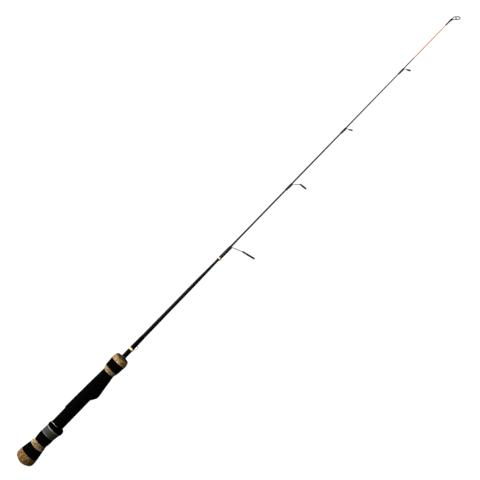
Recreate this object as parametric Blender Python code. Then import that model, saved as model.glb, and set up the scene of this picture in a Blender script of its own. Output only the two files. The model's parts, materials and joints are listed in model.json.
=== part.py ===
"""Short spinning rod for fishing through ice: butt at the origin, tip along +X, guides and reel on -Z."""

from math import asin, cos, pi, radians, sin, sqrt

import bmesh
import bpy
from mathutils import Matrix, Vector

MM = 0.001

# Facet counts.
GRIP_SIDES = 28
BLANK_SIDES = 16
WRAP_SIDES = 16
WIRE_SIDES = 8

# Fits.
GLUE_GAP = 0.05 * MM  # between bonded pieces
SLIDE_GAP = 0.2 * MM  # between the hood and the barrel
END_GAP = 0.1 * MM  # between neighbours along the rod

# Blank: station along the rod and radius there.
BLANK_START = 6.0 * MM
PAINT_START = 687.4 * MM  # where the bright tip end begins
BLANK_RADII = (
    (6.0, 2.60),
    (180.0, 2.60),
    (212.0, 2.56),
    (234.0, 2.50),
    (258.0, 2.33),
    (283.0, 2.28),
    (307.0, 2.15),
    (332.0, 1.74),
    (368.0, 1.28),
    (380.0, 1.13),
    (405.0, 1.03),
    (453.0, 0.99),
    (502.0, 0.93),
    (551.0, 0.87),
    (600.0, 0.78),
    (648.0, 0.68),
    (687.4, 0.57),
    (752.0, 0.40),
)

# Grip outlines: station and radius in millimetres, from the butt forward.
CAP_OUTLINE = (
    (0.0, 0.5),
    (0.4, 1.7),
    (1.0, 3.2),
    (1.7, 4.7),
    (2.4, 6.2),
    (3.1, 7.8),
    (3.9, 9.2),
    (5.0, 10.6),
    (6.3, 11.7),
    (8.0, 12.35),
    (10.2, 12.5),
    (12.8, 12.3),
    (15.1, 12.0),
)
BUTT_FOAM_OUTLINE = ((15.2, 12.0), (17.7, 11.7), (21.3, 11.1), (24.6, 10.5), (27.9, 9.95))
REAR_CORK_OUTLINE = ((28.0, 9.9), (31.4, 9.4), (34.2, 8.85))
FORE_CORK_OUTLINE = ((153.4, 7.75), (156.0, 8.5), (158.7, 9.15))
FORE_FOAM_OUTLINE = ((158.8, 9.3), (161.8, 9.6), (166.0, 9.9), (170.4, 10.25))
FRONT_CORK_OUTLINE = (
    (170.5, 10.3),
    (171.6, 10.42),
    (173.2, 10.4),
    (174.8, 10.1),
    (176.3, 9.55),
    (177.5, 8.85),
    (178.3, 8.2),
    (178.55, 7.7),
    (178.3, 7.2),
    (177.2, 6.2),
    (176.3, 4.9),
    (176.2, 4.5),
)
CHECK_OUTLINE = ((176.3, 4.3), (178.2, 4.0), (179.6, 3.6), (180.6, 3.2), (180.8, 2.9))

# Wraps ahead of the handle: start, end, and thickness over the blank at each end.
BUTT_WRAP = (180.9 * MM, 191.2 * MM, 0.4 * MM, 0.4 * MM)
BUTT_BAND = (191.3 * MM, 194.6 * MM, 0.75 * MM, 0.75 * MM)
KEEPER_WRAP = (194.7 * MM, 214.0 * MM, 0.4 * MM, 0.15 * MM)

# Hook keeper: station, and height above the wrap.
KEEPER_LINE = ((194.95, 0.0), (195.6, 0.8), (196.6, 1.9), (198.2, 1.9), (199.6, 0.9), (200.8, 0.0))
KEEPER_REST = 3.3 * MM  # below the axis
KEEPER_WIRE = 0.35 * MM

# Reel seat stations.
NUT_START = 34.4 * MM
NUT_END = 46.95 * MM
SLEEVE_START = 47.2 * MM
SLEEVE_END = 57.6 * MM
HOOD_TOP_FRONT = 61.9 * MM
HOOD_SIDE_FRONT = 63.8 * MM
SEAT_START = 34.3 * MM
SEAT_END = 153.3 * MM

# Reel seat barrel.
BARREL_RADIUS = 8.15 * MM
BED_DEPTH = 7.85 * MM  # the flat the reel foot rests on, below the axis
SEAM_AT = 83.3 * MM
SEAM_DEPTH = 0.25 * MM
SWELL_TOP_START = 86.0 * MM
SWELL_SIDE_START = 96.0 * MM
HOOD_RISE_START = 113.0 * MM
SWELL_TOP_RADII = (
    (86.0, 9.1),
    (93.0, 9.0),
    (105.3, 8.8),
    (119.9, 8.5),
    (134.5, 8.15),
    (149.0, 7.65),
    (153.3, 7.45),
)
HUMP_DEPTHS = (
    (113.0, 7.85),
    (115.1, 8.7),
    (117.5, 9.9),
    (120.0, 11.15),
    (122.0, 12.05),
    (123.2, 12.3),
    (124.6, 12.2),
    (129.7, 11.45),
    (137.0, 10.3),
    (144.3, 9.35),
    (151.6, 8.15),
    (153.3, 7.95),
)
FIXED_POCKET_END = 126.0 * MM
POCKET_TOP = 7.95 * MM
POCKET_BOTTOM = 10.6 * MM
POCKET_HALF_WIDTH = 4.8 * MM

# Thread on the rear of the barrel and inside the lock nut.
THREAD_PITCH = 2.0 * MM
THREAD_CREST = 7.7 * MM
THREAD_ROOT = 7.2 * MM
THREAD_START = 37.0 * MM
THREAD_TURNS = 12
THREAD_CLEARANCE = 0.2 * MM
NUT_TURNS = 3

# Sliding hood: fraction of the way forward, radius on top, depth on the reel side.
HOOD_RINGS = (
    (0.0, 8.95, 10.95),
    (0.12, 9.35, 11.4),
    (0.3, 9.6, 11.6),
    (0.42, 9.6, 11.5),
    (0.6, 9.45, 11.05),
    (0.76, 9.3, 10.4),
    (0.88, 9.15, 9.5),
    (1.0, 8.75, 8.4),
)
HOOD_TUBE_RADIUS = 8.65 * MM
SLIDER_POCKET_START = 58.4 * MM
TRIM_END_ANGLE = radians(78)  # where the bright lip stops, from the reel side
SQUARE_HALF_ANGLE = radians(26)  # flat bottom of both hoods

# Line guides: ring centre along the rod, its height below the axis, outer radius, how far the ring leans
# toward the tip, ring thickness along the rod, and the start and end of the thread wrap.
GUIDES = (
    ("guide_1", 374.4, 22.9, 9.1, 13.0, 2.2, 344.0, 366.7),
    ("guide_2", 480.7, 12.4, 5.1, 5.0, 1.6, 463.2, 473.4),
    ("guide_3", 570.5, 5.9, 2.8, 32.0, 1.3, 559.0, 568.0),
    ("guide_4", 671.9, 5.8, 2.8, 28.0, 1.3, 659.6, 669.2),
)
BAND_START = 345.6 * MM
BAND_END = 348.1 * MM

# Tip-top.
TIP_TUBE_START = 742.5 * MM
TIP_TUBE_END = 753.7 * MM
TIP_TUBE_RADIUS = 0.95 * MM
TIP_RING_AT = 758.1 * MM
TIP_RING_DROP = 5.8 * MM
TIP_RING_RADIUS = 3.1 * MM
TIP_RING_LEAN = radians(40)
TIP_RING_TWIST = radians(-38)  # how far the tip-top is turned about the blank
TIP_RING_THICKNESS = 1.2 * MM


def material(name, colour, roughness, metallic=0.0):
    made = bpy.data.materials.new(name)
    made.use_nodes = True
    shader = made.node_tree.nodes["Principled BSDF"]
    shader.inputs["Base Color"].default_value = (*colour, 1.0)
    shader.inputs["Roughness"].default_value = roughness
    shader.inputs["Metallic"].default_value = metallic
    return made


def interpolate(table, x):
    """Value at x, in metres, from a table in millimetres."""
    station = x / MM
    if station <= table[0][0]:
        return table[0][1] * MM
    for (x0, y0), (x1, y1) in zip(table, table[1:]):
        if station <= x1:
            return (y0 + (y1 - y0) * (station - x0) / (x1 - x0)) * MM
    return table[-1][1] * MM


def blank_radius(x):
    return interpolate(BLANK_RADII, x)


def smooth_step(t):
    t = min(max(t, 0.0), 1.0)
    return t * t * (3 - 2 * t)


def angles(sides):
    """Angles about the rod, zero on the reel side and starting on top, turning right-handed about +X."""
    return [pi + 2 * pi * j / sides for j in range(sides)]


def polar(x, radius, angle):
    return Vector((x, radius * sin(angle), -radius * cos(angle)))


def ring(x, radius, sides):
    """One ring of points; x and radius may be numbers or functions of the angle."""
    points = []
    for a in angles(sides):
        at = x(a) if callable(x) else x
        r = radius(a) if callable(radius) else radius
        points.append(polar(at, r, a))
    return points


def flat_limited(radius, depth):
    """Radius function of a round bar with a flat on its reel side."""

    def limited(a):
        down = cos(a)
        return min(radius, depth / down) if down > 0.5 else radius

    return limited


def finish(name, mesh, slot, smooth_angle=35.0):
    bm = bmesh.new()
    bm.from_mesh(mesh)
    bmesh.ops.recalc_face_normals(bm, faces=bm.faces)
    bm.to_mesh(mesh)
    bm.free()
    made = bpy.data.objects.new(name, mesh)
    bpy.context.collection.objects.link(made)
    mesh.materials.append(slot)
    mesh.shade_smooth()
    mesh.set_sharp_from_angle(angle=radians(smooth_angle))
    return made


def add_rings(bm, rings):
    """Joins rings of points with quads and returns the first and last ring of vertices."""
    loops = [[bm.verts.new(p) for p in points] for points in rings]
    for one, two in zip(loops, loops[1:]):
        join_loops(bm, one, two)
    return loops[0], loops[-1]


def join_loops(bm, one, two):
    for j in range(len(one)):
        k = (j + 1) % len(one)
        bm.faces.new((one[j], one[k], two[k], two[j]))


def loft(name, rings, slot, tube=False, smooth_angle=35.0):
    """Skin over rings; a tube joins the last ring to the first, otherwise both ends are closed."""
    bm = bmesh.new()
    first, last = add_rings(bm, rings)
    if tube:
        join_loops(bm, last, first)
    else:
        bm.faces.new(first)
        bm.faces.new(list(reversed(last)))
    mesh = bpy.data.meshes.new(name)
    bm.to_mesh(mesh)
    bm.free()
    return finish(name, mesh, slot, smooth_angle)


def turned(name, outline, bore, slot, sides=GRIP_SIDES):
    """Turned piece with a through bore and an outline in millimetres."""
    rings = [ring(x * MM, r * MM, sides) for x, r in outline]
    rings.append(ring(outline[-1][0] * MM, bore, sides))
    rings.append(ring(outline[0][0] * MM, bore, sides))
    return loft(name, rings, slot, tube=True)


def blank_sleeve(start, end, outer, sides=WRAP_SIDES):
    """Outer rings of a sleeve on the blank with softened ends; outer is a function of station and angle."""
    edge = 0.35 * MM
    rings = [ring(start, lambda a: outer(start, a) - 0.1 * MM, sides)]
    rings += [ring(x, lambda a, x=x: outer(x, a), sides) for x in (start + edge, end - edge)]
    rings.append(ring(end, lambda a: outer(end, a) - 0.1 * MM, sides))
    return rings


def boolean(target, other, operation):
    cut = target.modifiers.new(other.name, "BOOLEAN")
    cut.operation = operation
    cut.object = other
    cut.solver = "EXACT"


def bake_modifiers(target, used):
    """Replaces the mesh with its evaluated one and removes the helper objects."""
    graph = bpy.context.evaluated_depsgraph_get()
    mesh = bpy.data.meshes.new_from_object(target.evaluated_get(graph), depsgraph=graph)
    target.modifiers.clear()
    target.data = mesh
    for helper in used:
        bpy.data.objects.remove(helper)
    mesh.shade_smooth()
    mesh.set_sharp_from_angle(angle=radians(35.0))


def strut(name, points, radii, slot, sides=WIRE_SIDES):
    """Round wire along a line of points with a radius at each."""
    rings = []
    side = None
    for i, point in enumerate(points):
        before = points[max(i - 1, 0)]
        after = points[min(i + 1, len(points) - 1)]
        along = (after - before).normalized()
        if side is None:
            side = along.orthogonal().normalized()
        side = (side - along * side.dot(along)).normalized()
        up = along.cross(side)
        radius = radii[i]
        rings.append(
            [
                point + side * radius * cos(2 * pi * j / sides) + up * radius * sin(2 * pi * j / sides)
                for j in range(sides)
            ]
        )
    return loft(name, rings, slot)


def hoop(name, centre, lean, profile, slot, sides):
    """Turned ring about a leaning axis: profile gives offsets along the ring axis and radii."""
    axis = Vector((cos(lean), 0.0, sin(lean)))
    down = Vector((sin(lean), 0.0, -cos(lean)))
    side = Vector((0.0, 1.0, 0.0))
    rings = []
    for j in range(sides):
        a = 2 * pi * j / sides
        outward = down * cos(a) + side * sin(a)
        rings.append([centre + axis * along + outward * radius for along, radius in profile])
    return loft(name, rings, slot, tube=True, smooth_angle=40.0)


def rounded_profile(inner, outer, thickness, round_inner):
    """Section of a ring; the inner face of an insert is rounded, a holder is a plain band."""
    half = thickness / 2
    if round_inner:
        step = (outer - inner) / 2
        return (
            (-half, outer),
            (-half, outer - step * 0.8),
            (-half * 0.5, inner),
            (half * 0.5, inner),
            (half, outer - step * 0.8),
            (half, outer),
        )
    bevel = half * 0.35
    return (
        (-half, inner),
        (-half, outer - bevel),
        (-half + bevel, outer),
        (half - bevel, outer),
        (half, outer - bevel),
        (half, inner),
    )


def blank(slot):
    """The tapered blank and its brightly painted end, which carries on at the same taper."""
    stations = [x * MM for x, _ in BLANK_RADII]
    dark = [x for x in stations if x <= PAINT_START]
    loft("blank", [ring(x, blank_radius(x), BLANK_SIDES) for x in dark], slot["carbon"])
    painted = (PAINT_START + END_GAP, TIP_TUBE_START + 2 * MM, TIP_TUBE_END - 1.5 * MM)
    rings = [ring(x, blank_radius(x), BLANK_SIDES) for x in painted]
    loft("tip_section", rings, slot["orange"])


def butt(slot):
    """Cork cap over the end of the blank, foam section and the cork ring behind the lock nut."""
    bore = blank_radius(SEAT_START) + GLUE_GAP
    rings = [ring(x * MM, r * MM, GRIP_SIDES) for x, r in CAP_OUTLINE]
    rings.append(ring(CAP_OUTLINE[-1][0] * MM, bore, GRIP_SIDES))
    rings.append(ring(BLANK_START - 2 * GLUE_GAP, bore, GRIP_SIDES))
    loft("butt_cork_cap", rings, slot["cork"])
    turned("butt_eva", BUTT_FOAM_OUTLINE, bore, slot["foam"])
    turned("rear_cork_ring", REAR_CORK_OUTLINE, bore, slot["cork"])


def thread_rows(bm, start, turns, rows, before, after):
    """Spiral skin of a right-hand thread between two plain rings of vertices."""
    sides = len(before)
    per_turn = len(rows)
    count = turns * per_turn
    turn_angles = angles(sides)
    grid = {}
    for i in range(count + per_turn + 1):
        lead = THREAD_PITCH * i / per_turn
        radius = rows[i % per_turn]
        columns = range(sides) if i <= count else range(1)
        for j in columns:
            at = start + lead + THREAD_PITCH * j / sides
            r = radius(turn_angles[j])
            grid[i, j] = bm.verts.new(polar(at, r, turn_angles[j]))

    def vertex(i, j):
        return grid[i, j] if j < sides else grid[i + per_turn, 0]

    for i in range(count):
        for j in range(sides):
            bm.faces.new((vertex(i, j), vertex(i, j + 1), vertex(i + 1, j + 1), vertex(i + 1, j)))
    for j in range(sides):
        k = (j + 1) % sides
        bm.faces.new((before[j], before[k], vertex(0, j + 1), vertex(0, j)))
        bm.faces.new((vertex(count, j), vertex(count, j + 1), after[k], after[j]))
    bm.faces.new([before[0]] + [grid[i, 0] for i in range(per_turn, -1, -1)])
    bm.faces.new([grid[count + i, 0] for i in range(per_turn + 1)] + [after[0]])


def turn_from_reel_side(a):
    return abs((a + pi) % (2 * pi) - pi)


def squared(top, depth):
    """Section with a round top and a squarish hump of the given depth on the reel side."""

    def radius(a):
        down = cos(a)
        if depth < top:
            return min(top, depth / down) if down > 0.5 else top
        weight = 1.0 - smooth_step((turn_from_reel_side(a) - SQUARE_HALF_ANGLE) / radians(54))
        square = depth / max(down, cos(SQUARE_HALF_ANGLE))
        return top + (max(square, top) - top) * weight

    return radius


def hump_radius(x):
    """Seat section over the fixed hood."""
    return squared(interpolate(SWELL_TOP_RADII, x), interpolate(HUMP_DEPTHS, x))


def swell_start(a):
    """The swell's rear edge, set furthest back on top and curving forward down the sides."""
    down = (1 + cos(a)) / 2
    return SWELL_TOP_START + (SWELL_SIDE_START - SWELL_TOP_START) * down


def reel_seat(slot):
    """Barrel with the thread and the flat foot bed, palm swell and the fixed hood."""
    sides = GRIP_SIDES
    bm = bmesh.new()
    root = flat_limited(THREAD_ROOT, BED_DEPTH)
    crest = flat_limited(THREAD_CREST, BED_DEPTH)
    relief = flat_limited(THREAD_ROOT - 0.15 * MM, BED_DEPTH)
    barrel = flat_limited(BARREL_RADIUS, BED_DEPTH)
    groove = flat_limited(BARREL_RADIUS - SEAM_DEPTH, BED_DEPTH)
    bore = blank_radius(SEAT_START) + GLUE_GAP

    thread_end = THREAD_START + THREAD_PITCH * (THREAD_TURNS + 1)
    rear = [
        ring(SEAT_END, bore, sides),
        ring(SEAT_START, bore, sides),
        ring(SEAT_START, relief, sides),
        ring(THREAD_START - 0.3 * MM, relief, sides),
    ]
    last_bore, before = add_rings(bm, rear)
    after_ring = [ring(thread_end + 0.2 * MM, relief, sides)]
    after_ring.append(ring(thread_end + 0.4 * MM, barrel, sides))
    half_groove = 0.25 * MM
    after_ring.append(ring(SEAM_AT - half_groove, barrel, sides))
    after_ring.append(ring(SEAM_AT, groove, sides))
    after_ring.append(ring(SEAM_AT + half_groove, barrel, sides))
    after_ring.append(ring(swell_start, barrel, sides))
    swell_edge = hump_radius(SWELL_TOP_START)

    def risen(a):
        rise = smooth_step((1 - cos(a)) / 0.9)
        return barrel(a) + (swell_edge(a) - barrel(a)) * rise

    after_ring.append(ring(lambda a: swell_start(a) + 0.8 * MM, risen, sides))

    def settled(a):
        rise = smooth_step((1 - cos(a)) / 0.5)
        full = hump_radius(106 * MM)(a)
        return barrel(a) + (full - barrel(a)) * rise

    after_ring.append(ring(106 * MM, settled, sides))
    stations = (113.0, 115.1, 117.5, 120.0, 122.0, 123.2, 124.6, 129.7, 137.0, 144.3, 153.3)
    after_ring += [ring(x * MM, hump_radius(x * MM), sides) for x in stations]
    after, front = add_rings(bm, after_ring)
    thread_rows(bm, THREAD_START, THREAD_TURNS, (root, crest), before, after)
    join_loops(bm, front, last_bore)
    mesh = bpy.data.meshes.new("reel_seat_body")
    bm.to_mesh(mesh)
    bm.free()
    seat = finish("reel_seat_body", mesh, slot["seat"])
    pocket = pocket_cutter("fixed_pocket", HOOD_RISE_START - 4 * MM, FIXED_POCKET_END, slot["seat"])
    boolean(seat, pocket, "DIFFERENCE")
    bake_modifiers(seat, [pocket])


def pocket_cutter(name, start, end, slot):
    """Slot for one end of the reel foot, with an arched floor."""
    sections = []
    for x in (start, end):
        section = [
            Vector((x, -POCKET_HALF_WIDTH, -POCKET_TOP)),
            Vector((x, POCKET_HALF_WIDTH, -POCKET_TOP)),
            Vector((x, POCKET_HALF_WIDTH, -POCKET_BOTTOM + 1.0 * MM)),
            Vector((x, POCKET_HALF_WIDTH * 0.6, -POCKET_BOTTOM + 0.25 * MM)),
            Vector((x, 0.0, -POCKET_BOTTOM)),
            Vector((x, -POCKET_HALF_WIDTH * 0.6, -POCKET_BOTTOM + 0.25 * MM)),
            Vector((x, -POCKET_HALF_WIDTH, -POCKET_BOTTOM + 1.0 * MM)),
        ]
        sections.append(section)
    return loft(name, sections, slot)


def hood_front(a):
    """Station of the hood's front face: set back on top, further forward at the sides and below."""
    from_top = min(pi - turn_from_reel_side(a), pi / 2)
    rounding = 0.15
    share = (sqrt(sin(from_top) ** 2 + rounding**2) - rounding) / (sqrt(1 + rounding**2) - rounding)
    return HOOD_TOP_FRONT + (HOOD_SIDE_FRONT - HOOD_TOP_FRONT) * share


def sliding_hood(slot):
    """Keyed sliding hood, its metal sleeve and the bright lip of its liner."""
    sides = GRIP_SIDES
    bore = flat_limited(BARREL_RADIUS + SLIDE_GAP, BED_DEPTH + SLIDE_GAP)
    rear = SLEEVE_END + END_GAP
    tube_start = SLEEVE_START + END_GAP

    rings = [ring(tube_start, HOOD_TUBE_RADIUS, sides), ring(rear, HOOD_TUBE_RADIUS, sides)]
    for share, top, depth in HOOD_RINGS:
        section = squared(top * MM, depth * MM)
        rings.append(ring(lambda a, share=share: rear + (hood_front(a) - rear) * share, section, sides))
    rings.append(ring(hood_front, bore, sides))
    rings.append(ring(tube_start, bore, sides))
    hood = loft("sliding_hood", rings, slot["hood"], tube=True)
    pocket = pocket_cutter("slider_pocket", SLIDER_POCKET_START, HOOD_SIDE_FRONT + 3 * MM, slot["hood"])
    for vertex in pocket.data.vertices:
        if vertex.co.z > -POCKET_TOP - 0.01 * MM:
            vertex.co.z = -BED_DEPTH + 0.5 * MM
    boolean(hood, pocket, "DIFFERENCE")
    bake_modifiers(hood, [pocket])

    def eccentric(top, bottom):
        return lambda a: (top + (bottom - top) * (1 + cos(a)) / 2) * MM

    sleeve_inner = HOOD_TUBE_RADIUS + GLUE_GAP
    chamfer = 0.5 * MM
    sleeve = [
        ring(SLEEVE_START, eccentric(9.1, 9.2), sides),
        ring(SLEEVE_START + chamfer, eccentric(9.45, 9.6), sides),
        ring((SLEEVE_START + SLEEVE_END) / 2, eccentric(9.2, 10.25), sides),
        ring(SLEEVE_END - chamfer, eccentric(9.1, 10.95), sides),
        ring(SLEEVE_END, eccentric(8.95, 10.75), sides),
        ring(SLEEVE_END, sleeve_inner, sides),
        ring(SLEEVE_START, sleeve_inner, sides),
    ]
    loft("hood_sleeve", sleeve, slot["gunmetal"], tube=True, smooth_angle=25.0)
    hood_trim(slot["steel"])


def hood_trim(slot):
    """Open ring of bright metal on the front face of the hood."""
    inner = BARREL_RADIUS + SLIDE_GAP
    outer = inner + 0.4 * MM
    reach = pi - TRIM_END_ANGLE
    count = 20
    sections = []
    for i in range(count + 1):
        a = pi - reach + 2 * reach * i / count
        start = hood_front(a) + END_GAP
        end = start + 0.4 * MM
        corners = ((start, inner), (start, outer), (end, outer - 0.1 * MM), (end, inner))
        sections.append([polar(x, r, a) for x, r in corners])
    loft("hood_trim", sections, slot, smooth_angle=50.0)


def lock_nut(slot):
    """Threaded lock nut and the foam grip on it; both turn together."""
    sides = GRIP_SIDES
    large = THREAD_CREST + THREAD_CLEARANCE
    small = THREAD_ROOT + THREAD_CLEARANCE
    relief = large + 0.15 * MM
    thread_start = THREAD_START + THREAD_PITCH / 2
    thread_end = thread_start + THREAD_PITCH * (NUT_TURNS + 1)
    bm = bmesh.new()
    waist = 8.4 * MM
    lip = 0.5 * MM
    outer = [
        ring(thread_end + 0.2 * MM, relief, sides),
        ring(NUT_END, relief, sides),
        ring(NUT_END, 9.2 * MM, sides),
        ring(NUT_END - lip, 9.45 * MM, sides),
        ring(NUT_END - lip, waist, sides),
        ring(NUT_START + lip, waist, sides),
        ring(NUT_START + lip, 8.75 * MM, sides),
        ring(NUT_START, 8.5 * MM, sides),
        ring(NUT_START, relief, sides),
        ring(thread_start - 0.3 * MM, relief, sides),
    ]
    after, before = add_rings(bm, outer)
    thread_rows(bm, thread_start, NUT_TURNS, (lambda a: large, lambda a: small), before, after)
    mesh = bpy.data.meshes.new("lock_nut")
    bm.to_mesh(mesh)
    bm.free()
    finish("lock_nut", mesh, slot["hood"])
    grip_bore = waist + GLUE_GAP
    start = (NUT_START + lip + END_GAP) / MM
    end = (NUT_END - lip - END_GAP) / MM
    grip = [(start, 8.72), (start + 1.5, 8.85), (start + 4.0, 9.42), (start + 6.4, 9.6), (end, 9.62)]
    turned("nut_grip", grip, grip_bore, slot["foam"])


def fore_grip(slot):
    """Cork, foam and cork rings ahead of the seat, with the winding check in the recess."""
    bore = blank_radius(SEAT_END) + GLUE_GAP
    turned("fore_cork_ring", FORE_CORK_OUTLINE, bore, slot["cork"])
    turned("fore_eva", FORE_FOAM_OUTLINE, bore, slot["foam"])
    turned("front_cork_ring", FRONT_CORK_OUTLINE, bore, slot["cork"])
    turned("winding_check", CHECK_OUTLINE, bore, slot["steel"], sides=WRAP_SIDES)


def wrap(name, start, end, rear, front, slot):
    """Thread wrap on the bare blank with a thickness at each end."""

    def outer(x, a):
        return blank_radius(x) + rear + (front - rear) * (x - start) / (end - start)

    rings = blank_sleeve(start, end, outer)
    rings.append(ring(end, blank_radius(end) + GLUE_GAP, WRAP_SIDES))
    rings.append(ring(start, blank_radius(start) + GLUE_GAP, WRAP_SIDES))
    loft(name, rings, slot, tube=True)


def butt_wraps(slot):
    """Thread wraps ahead of the handle and the wire keeper for the hook."""
    wrap("butt_wrap", *BUTT_WRAP, slot["thread"])
    wrap("butt_wrap_band", *BUTT_BAND, slot["gold"])
    wrap("keeper_wrap", *KEEPER_WRAP, slot["thread"])
    line = [Vector((x * MM, 0.0, -KEEPER_REST - rise * MM)) for x, rise in KEEPER_LINE]
    strut("hook_keeper", line, [KEEPER_WIRE] * len(line), slot["steel"], sides=6)


def guide(name, at, drop, size, lean, thick, start, end, slot):
    """Single-foot guide: foot under the thread wrap, two legs up to the ring holder, and the ring."""
    at, drop, size, thick = at * MM, drop * MM, size * MM, thick * MM
    start, end = start * MM, end * MM
    lean = radians(lean)
    centre = Vector((at, 0.0, -drop))
    down = Vector((sin(lean), 0.0, -cos(lean)))
    side = Vector((0.0, 1.0, 0.0))
    wall = max(0.08 * size, 0.42 * MM)
    band_inner = size - wall
    insert_outer = band_inner - GLUE_GAP
    insert_inner = insert_outer - max(0.1 * size, 0.5 * MM)
    sides = 24 if size > 4 * MM else 16
    holder_profile = rounded_profile(band_inner, size, thick * 0.65, False)
    frame = hoop(name + "_frame", centre, lean, holder_profile, slot["frame"], sides)

    wire = 0.035 * size + 0.15 * MM
    foot_start = start + 1.6 * MM
    foot_end = end - 0.5 * MM

    def foot_radius(x):
        share = min(max((x - foot_start) / (foot_end - foot_start), 0.0), 1.0)
        return wire * (0.4 + 0.6 * share)

    def foot_drop(x):
        return blank_radius(x) + GLUE_GAP + foot_radius(x)

    middle = (foot_start + foot_end) / 2
    foot = [Vector((x, 0.0, -foot_drop(x))) for x in (foot_start, middle, foot_end)]
    foot_half = wire * 0.42
    knee = foot[-1] + Vector((1.0 * MM, 0.0, 0.0))
    spread = radians(38)
    helpers = []
    for hand, suffix in ((1, "left"), (-1, "right")):
        outward = -down * cos(spread) + side * hand * sin(spread)
        meet = centre + outward * (size - wall * 0.5)
        bend = knee * 0.35 + meet * 0.65 + side * hand * size * 0.12
        path = [foot[0], foot[1], foot[2], knee, bend, meet]
        shift = side * hand * foot_half
        path = [p + shift for p in path[:4]] + path[4:]
        radii = [foot_radius(p.x) for p in foot] + [wire, wire * 0.9, wire * 0.8]
        helpers.append(strut(name + "_leg_" + suffix, path, radii, slot["frame"]))
    for helper in helpers:
        boolean(frame, helper, "UNION")
    bake_modifiers(frame, helpers)

    insert_profile = rounded_profile(insert_inner, insert_outer, thick, True)
    hoop(name + "_ring", centre, lean, insert_profile, slot["ring"], sides)

    clear = 0.06 * MM

    def hull(x, a):
        """Radius that clears the two foot wires at a station, rounded off into the bare blank."""
        drop_here = foot_drop(x)
        around = foot_radius(x) + clear
        bare = blank_radius(x) + GLUE_GAP
        best = bare
        for offset in (-foot_half, foot_half):
            far = sqrt(drop_here * drop_here + offset * offset)
            off = (a + pi) % (2 * pi) - pi - asin(offset / far)
            across = far * sin(off)
            if abs(across) < around and cos(off) > 0:
                best = max(best, far * cos(off) + sqrt(around * around - across * across))
        return best

    def padded(x, a):
        """Hull widened by one facet each way, so that flat facets still clear the wires."""
        step = 2 * pi / WRAP_SIDES
        return max(hull(x, a + step * turn / 4) for turn in range(-4, 5))

    def inner(x, a):
        bare = blank_radius(x) + GLUE_GAP
        return padded(x, a) if x > foot_start - 0.3 * MM else bare

    def outer(x, a):
        share = min(max((x - start) / (foot_start - start), 0.0), 1.0)
        bare = blank_radius(x) + GLUE_GAP
        return bare + (padded(max(x, foot_start), a) - bare) * share + 0.18 * MM

    edge = 0.35 * MM
    outside = [start, start + edge, foot_start - 0.5 * MM, foot_start, middle, end - edge, end]
    inside = [end, foot_end, middle, foot_start, foot_start - 0.2 * MM, foot_start - 0.5 * MM, start]
    rings = []
    for x in outside:
        trim = 0.1 * MM if x in (start, end) else 0.0
        rings.append(ring(x, lambda a, x=x, trim=trim: outer(x, a) - trim, WRAP_SIDES))
    rings += [ring(x, lambda a, x=x: inner(x, a), WRAP_SIDES) for x in inside]
    loft(name + "_wrap", rings, slot["thread"], tube=True)
    return outer


def tip_top(slot):
    """Tube over the tip with two wires out to a small leaning ring, all turned a little about the tip."""
    bore = blank_radius(TIP_TUBE_START) + GLUE_GAP
    sides = 12
    lean = TIP_RING_LEAN
    centre = Vector((TIP_RING_AT, 0.0, -TIP_RING_DROP))
    down = Vector((sin(lean), 0.0, -cos(lean)))
    side = Vector((0.0, 1.0, 0.0))
    wall = 0.45 * MM
    band_inner = TIP_RING_RADIUS - wall
    socket_end = TIP_TUBE_END - 1.3 * MM
    tube = [
        ring(TIP_TUBE_START, TIP_TUBE_RADIUS * 0.74, sides),
        ring(TIP_TUBE_START + 0.4 * MM, TIP_TUBE_RADIUS * 0.84, sides),
        ring(TIP_TUBE_START + 5.0 * MM, TIP_TUBE_RADIUS * 0.88, sides),
        ring(TIP_TUBE_START + 5.6 * MM, TIP_TUBE_RADIUS * 1.05, sides),
        ring(TIP_TUBE_END - 0.5 * MM, TIP_TUBE_RADIUS, sides),
        ring(TIP_TUBE_END, TIP_TUBE_RADIUS * 0.6, sides),
    ]
    frame = loft("tip_top_frame", tube, slot["frame"])
    socket = [ring(TIP_TUBE_START - 1 * MM, bore, sides), ring(socket_end, bore, sides)]
    drill = loft("tip_socket", socket, slot["frame"])
    boolean(frame, drill, "DIFFERENCE")
    profile = rounded_profile(band_inner, TIP_RING_RADIUS, TIP_RING_THICKNESS * 0.7, False)
    holder = hoop("tip_holder", centre, lean, profile, slot["frame"], 16)
    boolean(frame, holder, "UNION")
    helpers = [drill, holder]
    wire = 0.4 * MM
    spread = radians(80)
    for hand, suffix in ((1, "left"), (-1, "right")):
        root = Vector((TIP_TUBE_END - 2.8 * MM, hand * 0.45 * MM, -0.5 * MM))
        fork = Vector((TIP_TUBE_END, hand * 1.1 * MM, -1.2 * MM))
        bend = Vector((TIP_TUBE_END + 2.0 * MM, hand * 2.6 * MM, -2.3 * MM))
        outward = -down * cos(spread) + side * hand * sin(spread)
        meet = centre + outward * (TIP_RING_RADIUS - wall * 0.5)
        path = [root, fork, bend, meet]
        helper = strut("tip_leg_" + suffix, path, [wire] * len(path), slot["frame"])
        boolean(frame, helper, "UNION")
        helpers.append(helper)
    bake_modifiers(frame, helpers)
    outer = band_inner - GLUE_GAP
    profile = rounded_profile(outer - 0.45 * MM, outer, TIP_RING_THICKNESS, True)
    insert = hoop("tip_top_ring", centre, lean, profile, slot["ring"], 16)
    for piece in (frame, insert):
        piece.data.transform(Matrix.Rotation(TIP_RING_TWIST, 4, "X"))


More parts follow.
